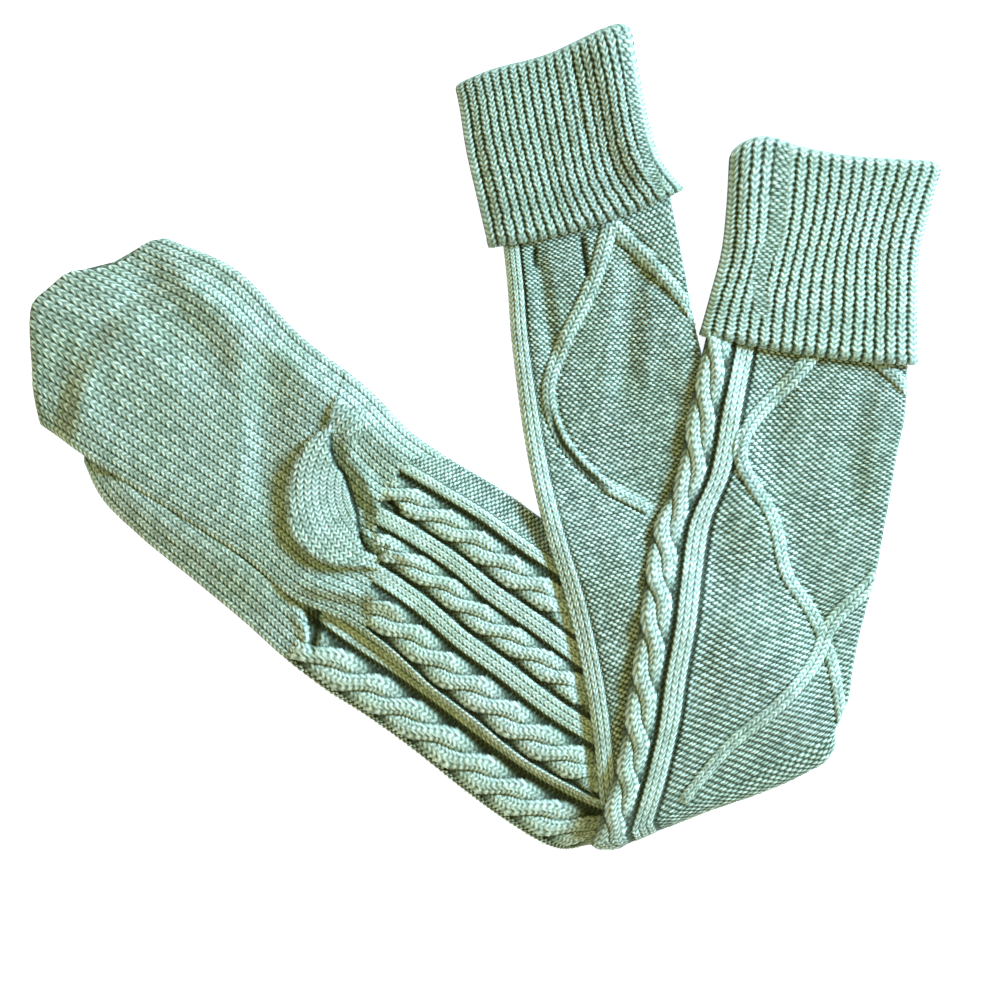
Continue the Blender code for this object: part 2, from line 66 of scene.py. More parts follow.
# Where the cables of the upper foot's ankle begin, at places across it.
CABLE_START_AT = (0.0, 0.1, 0.3, 0.45, 0.55, 0.65, 0.8, 1.0)
CABLE_START = (206.0, 186.0, 184.0, 189.0, 197.0, 201.0, 210.0, 222.0)
INNER_HIDDEN_FROM = 388.0

CABLE_RISE = 3.2
COLUMN_RISE = 1.2
COLUMN_WIDEST = 60.0
GUTTER_SINK = 0.9
GUTTER_STITCH = 0.45
SHALLOW_GUTTER_STITCH = 0.4
LINE_RISE = 1.5
LINE_HALF = 3.9
LINE_ENDS = 5.0
LINE_MOAT = 0.7
PURL_RISE = 1.05
COVERED_STITCH = 0.25
STITCH_MIDDLE = 0.35
UNDER_SHADE = 0.6
RIB_RISE = 1.7
RIB_STITCH = 0.6
RIB_MIDDLE = 0.55
BRIDGE_RISE = 0.9
MOSS_STITCH = 0.7
ROLL_RADIUS = 10.0
# The gutters of the inner shin side are shallow low down, and deepen from here over this length.
SHALLOW_GUTTER = 0.25
GUTTERS_DEEPEN_FROM = 220.0
GUTTERS_DEEPEN_OVER = 60.0
# Columns and cables are flatter near the fold, and nearly flat on it.
NEAR_FOLD = 0.4
NEAR_FOLD_REACH = 22.0
ON_FOLD = 0.25

# The width of a wale, the height of a course, and the length in which a cable crosses once.
WALE = 4.4
FOOT_COURSE = 2.9
OUTER_CALF_COURSE = 3.3
SHIN_COURSE = 3.35
OUTER_SHIN_COURSE = 3.5
LINE_COURSE = 3.2
CUFF_COURSE = 3.1
MOSS_COURSE = 3.3
CALF_PITCH = 23.0
OUTER_CALF_PITCH = 27.0
OUTER_SHIN_PITCH = 24.0
# How far the legs of a V reach back, in courses.
V_LEAN = 0.85
MEAN_PITCH = 24.0
# A cable's strand: its width, as a share of the cable's, and half its crossing, in turns.
STRAND_SHARE = 0.56
STRAND_CROSSES = 0.58

# Each row crosses the flattened tube: left edge x, y, right edge x, y, and how far the row bows.
INNER_OUT = (
    (-185.6, 116.3, -258.1, 7.2, -37.5),
    (-147.9, 100.0, -227.4, -14.2, -10.4),
    (-107.3, 59.4, -179.2, -44.4, 0.0),
    (-66.7, 27.5, -136.3, -72.8, 0.0),
    (-44.1, 4.3, -111.9, -93.1, 0.0),
    (-19.1, -13.0, -81.2, -107.0, 0.0),
    (9.9, -30.4, -54.5, -126.7, 0.0),
    (31.9, -46.1, -34.2, -145.9, 0.0),
    (55.1, -61.2, -12.2, -162.7, 0.0),
    (89.9, -84.4, 20.9, -189.4, 0.0),
    (123.5, -109.0, 50.5, -206.2, 0.0),
    (150.0, -131.0, 62.1, -212.0, 0.0),
    (171.0, -150.0, 66.7, -212.6, 0.0),
)
INNER_BACK = (
    (66.7, -212.6, 171.0, -150.0, 0.0),
    (62.6, -172.5, 171.0, -122.0, 0.0),
    (56.8, -136.0, 167.0, -95.0, 0.0),
    (47.0, -94.2, 159.5, -68.1, 0.0),
    (37.1, -62.3, 151.4, -40.9, 0.0),
    (29.6, -34.5, 144.4, -13.0, 0.0),
    (22.6, 1.4, 136.9, 18.8, 0.0),
    (17.4, 39.1, 127.0, 46.1, 0.0),
    (15.1, 59.4, 121.2, 69.3, 0.0),
    (13.3, 85.5, 116.6, 96.0, 0.0),
    (10.7, 111.1, 107.9, 140.6, -4.1),
)
OUTER_OUT = (
    (-171.1, 80.9, -233.7, -14.2, -17.4),
    (-152.5, 67.0, -224.5, -33.3, 0.0),
    (-124.7, 43.8, -201.3, -57.1, 0.0),
    (-94.5, 20.6, -169.9, -82.6, 0.0),
    (-65.5, -1.4, -138.6, -108.7, 0.0),
    (-44.7, -18.8, -117.2, -127.9, 0.0),
    (-27.3, -31.6, -92.8, -146.4, 0.0),
    (-4.1, -49.0, -70.2, -160.9, 0.0),
    (26.1, -71.0, -45.8, -178.3, 0.0),
    (60.9, -94.2, -12.8, -204.4, 0.0),
    (98.7, -116.3, 11.0, -221.8, 0.0),
    (144.0, -134.0, 39.4, -238.1, 0.0),
    (203.0, -170.3, 62.1, -236.9, 2.9),
)
OUTER_BACK = (
    (62.1, -236.9, 203.0, -170.3, -2.9),
    (68.4, -217.2, 211.2, -152.2, 0.0),
    (73.7, -198.6, 213.9, -136.0, 0.0),
    (78.9, -176.6, 217.6, -117.4, 0.0),
    (82.4, -148.8, 222.3, -98.9, 0.0),
    (87.6, -119.2, 227.2, -81.5, 0.0),
    (92.2, -82.6, 231.9, -56.5, 0.0),
    (97.4, -52.5, 236.4, -31.6, 0.0),
    (110.2, -24.6, 239.9, -10.7, 0.0),
    (118.9, 18.8, 244.9, 14.8, 0.0),
    (128.5, 58.9, 245.9, 41.5, -2.3),
)
INNER_CUFF = (
    (1.8, 111.6, 115.4, 145.3, -5.2),
    (-4.6, 138.9, 103.2, 160.9, -2.3),
    (-11.0, 166.8, 95.7, 184.1, 0.0),
    (-15.1, 192.8, 89.8, 213.1, 2.9),
    (-18.0, 206.3, 84.9, 240.2, 5.5),
)
OUTER_CUFF = (
    (124.7, 60.6, 251.9, 43.4, -2.9),
    (131.1, 83.8, 251.7, 76.8, -1.7),
    (137.5, 108.7, 252.6, 104.1, 0.0),
    (140.4, 134.8, 258.9, 130.8, 2.3),
    (142.1, 165.6, 265.8, 155.2, 6.4),
)

# Knitting charts across a face, from its left edge: what is knitted, how wide it is, how many wales.
FOOT_CHART = (("knit", 124.0, 27),)
CALF_CHART = (
    ("purl", 16.0, 4),
    ("knit", 7.0, 2),
    ("gutter", 4.0, 1),
    ("cable", 19.0, 4),
    ("gutter", 2.0, 1),
    ("knit", 11.0, 3),
    ("gutter", 2.5, 1),
    ("cable", 17.0, 4),
    ("gutter", 2.5, 1),
    ("knit", 11.5, 3),
    ("gutter", 4.0, 1),
    ("cable", 21.0, 4),
    ("gutter", 2.0, 1),
    ("knit", 4.0, 1),
)
OUTER_CALF_CHART = (
    ("purl", 82.0, 19),
    ("gutter", 2.0, 1),
    ("knit", 12.0, 3),
    ("gutter", 4.0, 1),
    ("cable", 22.0, 4),
    ("purl", 2.0, 1),
)
INNER_SHIN_CHART = (("knit", 11.0, 3), ("gutter", 2.0, 1), ("purl", 111.0, 27))
OUTER_SHIN_CHART = (
    ("cable", 18.0, 4),
    ("gutter", 3.0, 1),
    ("knit", 12.0, 3),
    ("gutter", 3.0, 1),
    ("purl", 100.0, 22),
)

TRAVEL_LINES = {
    "inner_back": (
        ((74, 130), (71, 117), (61, 86), (44, 51), (37, 28), (41, 7), (67, -25), (100, -44)),
        ((66, 133), (78, 120), (109, 88), (118, 76), (123, 68)),
    ),
    "outer_back": (
        ((199, 60), (187, 44), (148, -10), (168, -48), (176, -81), (188, -98), (200, -125), (208, -170)),
        ((230, -78), (222, -87), (200, -110), (194, -125), (172, -152), (142, -177), (113, -212)),
        ((218, 57), (232, 42), (244, 30), (250, 24)),
    ),
}
# The heel turns over on the foot: its rounded rim, and a deep crease on its far side that ends in a hook.
HEEL_RIM = (
    (-86, 22), (-88, 15), (-89, 8), (-91, 5), (-99, 0), (-104, -7), (-108, -13), (-110, -19),
    (-113, -30), (-113, -42), (-110, -56), (-104, -64), (-93, -71), (-75, -74), (-62, -75),
)
HEEL_CREASE = (
    (-89, 4), (-89, -8), (-87, -14), (-82, -21), (-79, -29), (-76, -37), (-74, -47), (-73, -54),
    (-71, -61), (-67, -66), (-62, -67), (-59, -66),
)
HEEL_CLOSE = ((-72, -4), (-70, 14))
HEEL_CENTRE = (-52.2, -30.0)
# The heel's courses run out from its centre, so their size is an angle.
HEEL_COURSE = 0.066
# A hollow that reaches less far than PIT_REACH gets painted shade near its line; the next number is how far
# that painted shade reaches.
PIT_REACH = 4.0
PIT_SHADE_WIDTH = 2.6
# A fold's line, its height, and how far it reaches on its left and on its right.
FOLDS = {
    "inner_out": (
        (HEEL_RIM, 6.5, 36.0, 2.4),
        (HEEL_CREASE, -6.0, 12.0, 2.6),
        (((-85, -12), (-76, -20), (-68, -28), (-63, -38)), 3.0, 9.0, 8.0),
        (((-70, -54), (-66, -60), (-61, -62)), 3.2, 4.0, 4.5),
        (((-56, -36), (-52, -40), (-49, -44)), -5.0, 3.2, 3.2),
        (((-92, 18), (-78, 12), (-62, 0), (-50, -14)), 1.6, 14.0, 16.0),
        (((-58, -64), (-50, -66), (-42, -72)), 2.4, 6.0, 5.0),
        (((-209, 104), (-196, 86), (-168, 54), (-150, 30)), -4.0, 24.0, 26.0),
        (((-129, 62), (-127, 30), (-128, -5), (-126, -45)), -3.6, 26.0, 16.0),
        (((-230, 60), (-236, 35), (-228, 5)), 1.6, 16.0, 14.0),
        (((-106, -86), (-80, -90), (-58, -94), (-44, -103)), 3.0, 10.0, 7.0),
    ),
    "inner_back": (
        (((79, 109), (86, 97), (86, 86), (84, 74), (82, 57), (81, 39), (78, 22)), -3.8, 15.0, 12.0),
        (((85, 102), (96, 94), (106, 84)), -2.4, 4.0, 9.0),
        (((29, 112), (32, 94), (35, 74), (39, 54), (42, 42)), -2.8, 9.0, 8.0),
        (((29, 112), (29, 99)), -2.0, 3.0, 3.0),
        (((38, 14), (43, 0), (54, -15), (70, -30)), -2.0, 3.0, 6.0),
        (((56, 118), (58, 104), (60, 92)), -2.8, 3.2, 3.2),
        (((116, 60), (120, 30), (124, 0)), 1.4, 12.0, 14.0),
        (((60, -20), (80, -60), (92, -110)), 1.6, 26.0, 22.0),
        (((33, -50), (50, -100), (64, -150)), -1.6, 14.0, 8.0),
    ),
    "outer_back": (
        (((168, 40), (170, 15), (164, -6)), -2.0, 14.0, 12.0),
        (((235, 50), (222, 30), (214, 0), (216, -50)), -2.4, 16.0, 16.0),
        (((135, -60), (128, -110), (118, -160)), -1.8, 18.0, 8.0),
        (((150, -30), (158, -70), (150, -120)), 1.4, 22.0, 20.0),
    ),
    "inner_cuff": (
        (((66, 236), (76, 200), (86, 170), (98, 146)), 6.0, 76.0, 18.0),
        (((46, 222), (49, 204), (52, 186), (59, 164)), 2.0, 26.0, 6.0),
        (((49, 224), (53, 204), (55, 186), (62, 166)), -2.0, 4.5, 8.0),
        (((-10, 190), (-2, 150), (4, 118)), -1.4, 9.0, 7.0),
        (((30, 190), (38, 150), (44, 120)), -1.0, 12.0, 10.0),
    ),
    "outer_cuff": (
        (((150, 176), (152, 140), (148, 100)), 1.6, 14.0, 10.0),
        (((236, 150), (228, 110), (226, 60)), -1.4, 14.0, 12.0),
    ),
    "outer_out": (
        (((-103, -97), (-101.5, -110), (-100, -124)), -4.5, 3.9, 3.9),
        (((-97, -98), (-97.5, -108), (-99, -119)), -4.5, 3.9, 3.9),
        (((-100, -98), (-99.5, -110), (-99, -121)), -1.5, 3.9, 3.9),
        (((-227, -16), (-179, -46), (-136, -75), (-112, -94)), 3.6, 4.0, 24.0),
        (((-112, -100), (-104, -112), (-100, -122)), 1.6, 6.0, 6.0),
    ),
}


def smooth_step(share):
    """Rises from 0 to 1 as share does, level at both ends."""
    share = np.clip(share, 0.0, 1.0)
    return share * share * (3.0 - 2.0 * share)


def curve_through(knots, values, at):
    """Reads a smooth curve through the values, which stand at the knots."""
    knots = np.asarray(knots, float)
    values = np.asarray(values, float)
    at = np.clip(at, knots[0], knots[-1])
    slopes = np.gradient(values, knots, axis=0)
    span = np.clip(np.searchsorted(knots, at, side="right") - 1, 0, len(knots) - 2)
    width = knots[span + 1] - knots[span]
    share = (at - knots[span]) / width
    extra = values.ndim - 1
    share = share.reshape(share.shape + (1,) * extra)
    width = width.reshape(share.shape)
    start, end = values[span], values[span + 1]
    leave, arrive = slopes[span] * width, slopes[span + 1] * width
    return (
        start * (2 * share**3 - 3 * share**2 + 1)
        + leave * (share**3 - 2 * share**2 + share)
        + end * (3 * share**2 - 2 * share**3)
        + arrive * (share**3 - share**2)
    )


def smooth_line(points, per_span=5):
    """Points along a smooth curve through a few given ones."""
    points = np.asarray(points, float)
    steps = np.hypot(*np.diff(points, axis=0).T)
    knots = np.concatenate([[0.0], np.cumsum(steps)])
    places = np.linspace(0.0, knots[-1], per_span * len(steps) + 1)
    return curve_through(knots, points, places)


def beside(line, x, y):
    """Distance of each place from a line, positive on its left, how far along it lies, and its length."""
    nearest = np.full(np.shape(x), 1e9)
    side = np.ones(np.shape(x))
    along = np.zeros(np.shape(x))
    start = 0.0
    for (ax, ay), (bx, by) in zip(line[:-1], line[1:]):
        dx, dy = bx - ax, by - ay
        length = math.hypot(dx, dy)
        share = np.clip(((x - ax) * dx + (y - ay) * dy) / length**2, 0.0, 1.0)
        away_x, away_y = x - ax - share * dx, y - ay - share * dy
        gap = np.hypot(away_x, away_y)
        closer = gap < nearest
        nearest = np.where(closer, gap, nearest)
        side = np.where(closer, np.where(dx * away_y - dy * away_x < 0, -1.0, 1.0), side)
        along = np.where(closer, start + share * length, along)
        start += length
    return nearest * side, along, start


def inside(outline, x, y):
    """Whether each place lies inside a closed outline."""
    odd = np.zeros(np.shape(x), bool)
    for (ax, ay), (bx, by) in zip(outline, np.roll(outline, -1, axis=0)):
        if ay == by:
            continue
        crosses = (ay > y) != (by > y)
        odd ^= crosses & (x < ax + (y - ay) * (bx - ax) / (by - ay))
    return odd


# How far the toe of the upper foot and the mouths of the cuffs are pushed out, at places across them.
TOE_PUSH_AT = (0.0, 0.05, 0.18, 0.27, 0.36, 0.46, 0.58, 0.66, 0.78, 0.92, 1.0)
TOE_PUSH = (0.0, 0.5, 9.1, 7.8, -1.0, -3.0, -6.9, -4.3, -0.4, -1.0, -1.0)
TOE_REACH = 55.0
MOUTH_PUSH_AT = (0.0, 0.05, 0.12, 0.22, 0.3, 0.42, 0.55, 0.7, 0.85, 0.94, 1.0)
MOUTH_PUSH = {
    "inner_cuff": (-1.0, -1.6, -2.2, -3.2, -4.4, -6.2, -6.4, -3.6, 0.2, 1.6, 0.0),
    "outer_cuff": (1.0, 5.0, 8.0, 6.5, 2.5, -0.5, -2.0, -1.0, 1.6, 3.6, 3.0),
}
MOUTH_REACH = 34.0
MOUTH_CORNER = 4.5
FOLD_CORNER = 16.0
# How far the outer sock's fold is pushed out, at places along x.
FOLD_PUSH_AT = (100.0, 125.0, 150.0, 170.0, 188.0, 201.0)
FOLD_PUSH = (-0.8, 0.6, 4.2, 6.5, 7.0, 7.0)
# A strip of irregular stitches on each cuff: its middle, and half its width.
MOSS = {
    "inner_cuff": (((80.6, 231.6), (83.5, 209.5), (88.2, 185.4), (93.1, 163.3), (101.8, 142.1)), 2.6),
    "outer_cuff": (((172.8, 165), (170, 138), (168, 117), (160, 97.7), (160, 73.6)), 4.4),
}


# How many places a strip's outline has along each edge and across each end.
OUTLINE_ALONG = 40
OUTLINE_ACROSS = 10
# Beyond its last row, a strip goes on as it does over this length before the row.
LAST_RUN = 2.0


class Strip:
    """A flattened tube of cloth, from a table of rows across it."""

    def __init__(self, name, rows, fold_at_end=False):
        self.name = name
        self.rows = np.array(rows, float)
        middle = (self.rows[:, 0:2] + self.rows[:, 2:4]) / 2
        steps = np.hypot(*np.diff(middle, axis=0).T)
        self.knots = np.concatenate([[0.0], np.cumsum(steps)])
        self.length = self.knots[-1]
        self.fold_at = self.length if fold_at_end else 0.0
        along = np.linspace(0.0, self.length, OUTLINE_ALONG)
        across = np.linspace(0.0, 1.0, OUTLINE_ACROSS + 2)[1:-1]
        left = self.place(along, np.zeros(OUTLINE_ALONG))
        far = self.place(np.full(OUTLINE_ACROSS, self.length), across)
        right = self.place(along[::-1], np.ones(OUTLINE_ALONG))
        near = self.place(np.zeros(OUTLINE_ACROSS), across[::-1])
        self.outline = np.concatenate([left, far, right, near], axis=1).T

    def width(self, along):
        """The strip's width at a place along it."""
        row = curve_through(self.knots, self.rows, along)
        return np.hypot(row[..., 2] - row[..., 0], row[..., 3] - row[..., 1])

    def place(self, along, across):
        """The x and y of a place: `along` in millimetres, `across` from 0 to 1."""
        row = curve_through(self.knots, self.rows, along)
        last = curve_through(self.knots, self.rows, np.array(self.length - LAST_RUN))
        row = row + np.maximum(along - self.length, 0.0)[..., None] * (self.rows[-1] - last) / LAST_RUN
        run = row[..., 2:4] - row[..., 0:2]
        swell = row[..., 4] * 4 * across * (1 - across) / np.hypot(run[..., 0], run[..., 1])
        x = row[..., 0] + run[..., 0] * across - run[..., 1] * swell
        y = row[..., 1] + run[..., 1] * across + run[..., 0] * swell
        push = None
        if self.name == "inner_out":
            push = curve_through(TOE_PUSH_AT, TOE_PUSH, np.asarray(across))
            push = push * smooth_step(1 - along / TOE_REACH)
        if self.name in MOUTH_PUSH:
            push = curve_through(MOUTH_PUSH_AT, MOUTH_PUSH[self.name], np.asarray(across))
            push = push * smooth_step(1 - (self.length - along) / MOUTH_REACH)
        if push is not None:
            length = np.hypot(run[..., 0], run[..., 1])
            x = x - run[..., 1] / length * push
            y = y + run[..., 0] / length * push
        return x, y

    def cover(self, x, y, drape):
        """1 where this strip lies, falling to 0 over `drape` beyond it."""
        closed = np.vstack([self.outline, self.outline[:1]])
        gap = np.abs(beside(closed, x, y)[0])
        gap = np.where(inside(self.outline, x, y), 0.0, gap)
        return smooth_step(1.0 - (gap - DRAPE_MARGIN) / drape)


inner_out = Strip("inner_out", INNER_OUT, fold_at_end=True)
inner_back = Strip("inner_back", INNER_BACK)
outer_out = Strip("outer_out", OUTER_OUT, fold_at_end=True)
outer_back = Strip("outer_back", OUTER_BACK)
inner_cuff = Strip("inner_cuff", INNER_CUFF)
outer_cuff = Strip("outer_cuff", OUTER_CUFF)


def base_height(strip, x, y):
    """How high a strip lies, on the strips beneath it."""
    layer = LEG_THICK + LAYER_GAP
    if strip is inner_out:
        return layer * outer_out.cover(x, y, FOOT_DRAPE)
    if strip is inner_back:
        return layer * (outer_out.cover(x, y, LEG_DRAPE) + inner_out.cover(x, y, LEG_DRAPE))
    if strip is outer_back:
        band = outer_out.cover(x, y, LEG_DRAPE) + inner_out.cover(x, y, LEG_DRAPE)
        return layer * (band + inner_back.cover(x, y, TUCK_DRAPE))
    return np.zeros(np.shape(x))


def hidden(strip, x, y):
    """1 where another strip covers this one, so its columns are pressed flat."""
    over = np.zeros(np.shape(x))
    above = {
        "inner_out": (inner_back, outer_back),
        "inner_back": (outer_back,),
        "outer_out": (inner_out, inner_back, outer_back),
    }
    for other in above.get(strip.name, ()):
        over = np.maximum(over, other.cover(x, y, PRESS_DRAPE))
    return over


def fold_height(strip, x, y):
    """Height of the axis that a strip turns over about, halfway between its two runs."""
    if strip in (inner_out, inner_back):
        return (base_height(inner_out, x, y) + LEG_THICK + base_height(inner_back, x, y)) / 2
    return (LEG_THICK + base_height(outer_back, x, y)) / 2


def edge_rise(gap, thick):
    """Height of a tube's upper face at a distance in from its rounded edge."""
    share = np.clip(gap / EDGE_ROUND, 0, 1)
    swell = EDGE_SWELL * np.sqrt(1 - (1 - share) ** 2)
    return thick * (EDGE_FOOT + swell + CROWN_SHARE * smooth_step(gap / CROWN_REACH))


def uneven(a, b, seed):
    """Slow unevenness of the knitting, about -1 to 1."""
    first = np.sin(1.7 * a + 0.9 * b + seed)
    second = np.sin(2.3 * b - 1.1 * a + 2.1 * seed)
    third = np.sin(0.6 * a - 1.3 * b + 0.7 * seed)
    return (first + second + third) / 3


def drawn(a, b, seed):
    """A number from 0 to 1 for each whole stitch, always the same. The large factors only scatter it."""
    value = np.sin(np.floor(a) * 127.1 + np.floor(b) * 311.7 + seed * 74.7) * 43758.5453
    return value - np.floor(value)


def knit_stitch(wale, course, lean=V_LEAN):
    """Height, 0 to 1, of plain knitting: a V in each wale at each course."""
    # A V's legs are lowest where they meet, at the wale's edges and between courses.
    reach = np.abs(2 * (wale - np.floor(wale)) - 1)
    size = 0.82 + 0.34 * drawn(wale, course - lean * reach + 0.5, 3)
    leg = 0.5 + 0.5 * np.cos(2 * math.pi * (course - lean * reach))
    side = np.clip(1 - reach**4 * (1 - 0.25 * leg), 0, 1) ** 0.7
    body = side * (1 - 0.3 * np.exp(-((reach / 0.2) ** 2)))
    return body * (0.34 + 0.66 * leg**0.8) * size


def purl_stitch(wale, course):
    """Height, 0 to 1, of purl knitting: rows of bumps, each row half a stitch on from the last."""
    height = np.zeros(np.shape(wale))
    for shift, arch in ((0.0, 0.55), (0.5, -0.55)):
        w = wale - shift
        side = w - np.round(w)
        c = course - shift + 0.14 * side + arch * (side**2 - 0.08)
        up = c - np.round(c)
        size = 0.78 + 0.36 * drawn(w + 0.5, c + 0.5, 5 + shift)
        dome = np.exp(-1.0 * ((side / 0.43) ** 2 + (up / 0.27) ** 2) ** 1.4)
        height = np.maximum(height, dome * size)
    return np.clip((height - 0.17) / 0.83, 0, None)


def cable(turns, across, along, course_size, half_width):
    """Rise of a two-strand cable, 0 to 1, the height of the stitches on it, and its creases."""
    # The higher strand is seen at each place, and the crease is where the second is as high.
    height = np.zeros(np.shape(turns))
    second = np.zeros(np.shape(turns))
    stitches = np.zeros(np.shape(turns))
    for strand in (-1, 0, 1):
        phase = turns - np.floor(turns) - strand - 0.5
        share = np.clip(phase / STRAND_CROSSES, -1, 1)
        middle = -0.5 * np.sin(share * math.pi / 2)
        slope = -0.5 * np.cos(share * math.pi / 2) * math.pi / (2 * STRAND_CROSSES) * half_width / MEAN_PITCH
        place = (across - middle) / STRAND_SHARE
        dome = np.clip(1.0 - np.abs(place) ** 2.1, 0, 1) ** 0.5 * np.clip(1.36 - np.abs(phase), 0, 1)
        over = dome > height
        second = np.where(over, height, np.maximum(second, dome))
        height = np.where(over, dome, height)
        row = (along + 2.0 * slope * (across - middle) * half_width) / course_size
        stitches = np.where(over, knit_stitch((place + 1.0) * 1.25 + 0.25, row, 0.7), stitches)
    crease = smooth_step((height - second) / 0.42)
    return height, stitches, crease


# Extra places across a face beside its rounded edges.
EDGE_ACROSS = [0.0, 0.006, 0.013, 0.025]


class Knitting:
    """Where each column of points lies across a face, and what is knitted there."""

    def __init__(self, chart, per_wale=6, fine=(0.0, 1.0), coarse_step=9.0):
        total = sum(width for _, width, _ in chart)
        places = []
        start = 0.0
        for kind, width, wales in chart:
            count = wales * per_wale if kind != "gutter" else 3
            places += list(start + width * np.arange(count) / count)
            start += width
        places = np.array(places + [total]) / total
        shown = places[(places >= fine[0]) & (places <= fine[1])]
        step = coarse_step / total
        before = np.arange(0.0, fine[0] - 0.5 * step, step)
        after = 1.0 - np.arange(0.0, 1.0 - fine[1] - 0.5 * step, step)[::-1]
        edge = np.array(EDGE_ACROSS)
        self.across = np.unique(np.round(np.concatenate([before, edge, shown, 1 - edge, after]), 6))
        self.chart = chart
        self.total = total

    def read(self, along, across, course, pitch, shown, gutters=1.0):
        """Broad rise in millimetres and stitch height, 0 to 1, of each place on the face."""
        place = across * self.total
        broad = np.zeros(np.shape(place))
        stitch = np.zeros(np.shape(place))
        start = 0.0
        row = along / course
        for kind, width, wales in self.chart:
            inner = (place >= start) & (place <= start + width)
            centred = (place - start) / width * 2 - 1
            bulge = np.sqrt(np.clip(1 - centred**4, 0, 1))
            wale = (place - start) / width * wales
            if kind == "knit":
                broad = np.where(inner, COLUMN_RISE * bulge if width < COLUMN_WIDEST else 0.0, broad)
                stitch = np.where(inner, knit_stitch(wale, row), stitch)
            elif kind == "purl":
                stitch = np.where(inner, purl_stitch(wale, row), stitch)
            elif kind == "gutter":
                broad = np.where(inner, -GUTTER_SINK * gutters * bulge, broad)
                size = GUTTER_STITCH + SHALLOW_GUTTER_STITCH * (1 - gutters)
                stitch = np.where(inner, size * purl_stitch(wale, row), stitch)
            else:
                rise, bumps, crease = cable(along / pitch, centred, along, course, width / 2)
                broad = np.where(inner, CABLE_RISE * (rise - 0.22 * (1 - crease)), broad)
                # Stitches are lower toward a strand's edges and the creases between strands: this sinks them
                # there and also paints shade along them.
                bumps = bumps * (0.25 + 0.75 * np.clip(rise * 1.6, 0, 1)) * (0.42 + 0.58 * crease)
                stitch = np.where(inner, bumps, stitch)
            start += width
        plain = purl_stitch(place / WALE, row)
        return broad * shown, np.where(shown > 0.5, stitch, plain)


def line_relief(strip, x, y):
    """Rise and stitches of the lines that travel over the purl ground, and where they lie."""
    rise = np.zeros(np.shape(x))
    stitch = np.zeros(np.shape(x))
    share = np.zeros(np.shape(x))
    for points in TRAVEL_LINES.get(strip.name, ()):
        gap, along, length = beside(smooth_line(points), x, y)
        centred = gap / (LINE_HALF * (1.3 - 0.45 * along / length))
        ends = smooth_step(np.minimum(along, length - along) / LINE_ENDS)
        ridge = np.clip(1 - centred**2, 0, 1) ** 0.6 * ends
        moat = np.clip(1 - np.abs(np.abs(centred) - 1.25) / 0.35, 0, 1) * ends
        sunk = rise - LINE_MOAT * moat * (rise <= 0)
        rise = np.where(ridge > 0, np.maximum(rise, LINE_RISE * ridge), sunk)
        on = np.abs(centred) < 1
        stitch = np.where(on, knit_stitch(centred + 1.0, along / LINE_COURSE), stitch)
        share = np.maximum(share, smooth_step((1.12 - np.abs(centred)) / 0.2) * ends)
    return rise, stitch, share


def fold_relief(strip, x, y):
    """Height of the strip's folds and creases, and the painted shade in the narrow ones, 0 to 1."""
    height = np.zeros(np.shape(x))
    painted_pit_shade = np.zeros(np.shape(x))
    for line, rise, left, right in FOLDS.get(strip.name, ()):
        gap, along, length = beside(smooth_line(line), x, y)
        reach = np.where(gap > 0, gap / left, -gap / right)
        ends = smooth_step(np.minimum(along, length - along) / (0.3 * length) + 0.35)
        height = height + rise * smooth_step(1 - reach) * ends
        if rise < 0 and min(left, right) < PIT_REACH:
            # Narrow hollows are painted dark along their line, as shade.
            painted_pit_shade = np.maximum(painted_pit_shade, smooth_step(1 - np.abs(gap) / PIT_SHADE_WIDTH) * ends)
    return height, painted_pit_shade


def heel_stitches(x, y):
    """Where the heel's own stitches lie, and their height: its wales run round the heel."""
    outline = np.vstack([smooth_line(HEEL_RIM), smooth_line(HEEL_CREASE)[::-1], HEEL_CLOSE])
    away_x, away_y = x - HEEL_CENTRE[0], y - HEEL_CENTRE[1]
    radius = np.hypot(away_x, away_y)
    turn = np.arctan2(away_y, -away_x)
    return inside(outline, x, y), knit_stitch(radius / WALE, turn / HEEL_COURSE)


def turned_over(strip, x, y, height, degrees, gap):
    """Rolls places at the strip's fold by some degrees about the fold's own axis."""
    ends_x, ends_y = strip.place(np.full(2, strip.fold_at), np.array([0.0, 1.0]))
    run = np.array([ends_x[1] - ends_x[0], ends_y[1] - ends_y[0]])
    out = np.array([run[1], -run[0]]) / np.hypot(*run)
    if out[1] > 0:
        out = -out
    axis = fold_height(strip, x, y)
    radius = np.abs(height - axis)
    side = np.where(height > axis, 1.0, -1.0)
    turn = np.radians(degrees)
    corner = np.sqrt(1 - (1 - np.clip(gap / FOLD_CORNER, 0, 1)) ** 2)
    push = np.interp(x, FOLD_PUSH_AT, FOLD_PUSH) if strip in (outer_out, outer_back) else 0.0
    reach = (radius + push) * np.sin(turn) * corner
    rise = radius * np.cos(turn)
    turned = degrees > 0
    return (
        np.where(turned, x + out[0] * reach, x),
        np.where(turned, y + out[1] * reach, y),
        np.where(turned, axis + side * rise, height),
    )


def displaced(points, outward, height):
    """Moves each point of a grid out along its own normal. The grid's columns close round the tube."""
    across = np.roll(points, -1, axis=1) - np.roll(points, 1, axis=1)
    along = np.gradient(points, axis=0)
    normal = np.cross(across, along)
    length = np.linalg.norm(normal, axis=2, keepdims=True)
    normal = normal / np.maximum(length, 1e-9)
    if (normal[..., 2] * outward).sum() < 0:
        normal = -normal
    return points + normal * height[..., None]


# The share of the flat map that is left free round its edge.
MAP_MARGIN = 0.001


def placed(name, data):
    """A new object in the scene."""
    item = bpy.data.objects.new(name, data)
    bpy.context.scene.collection.objects.link(item)
    return item


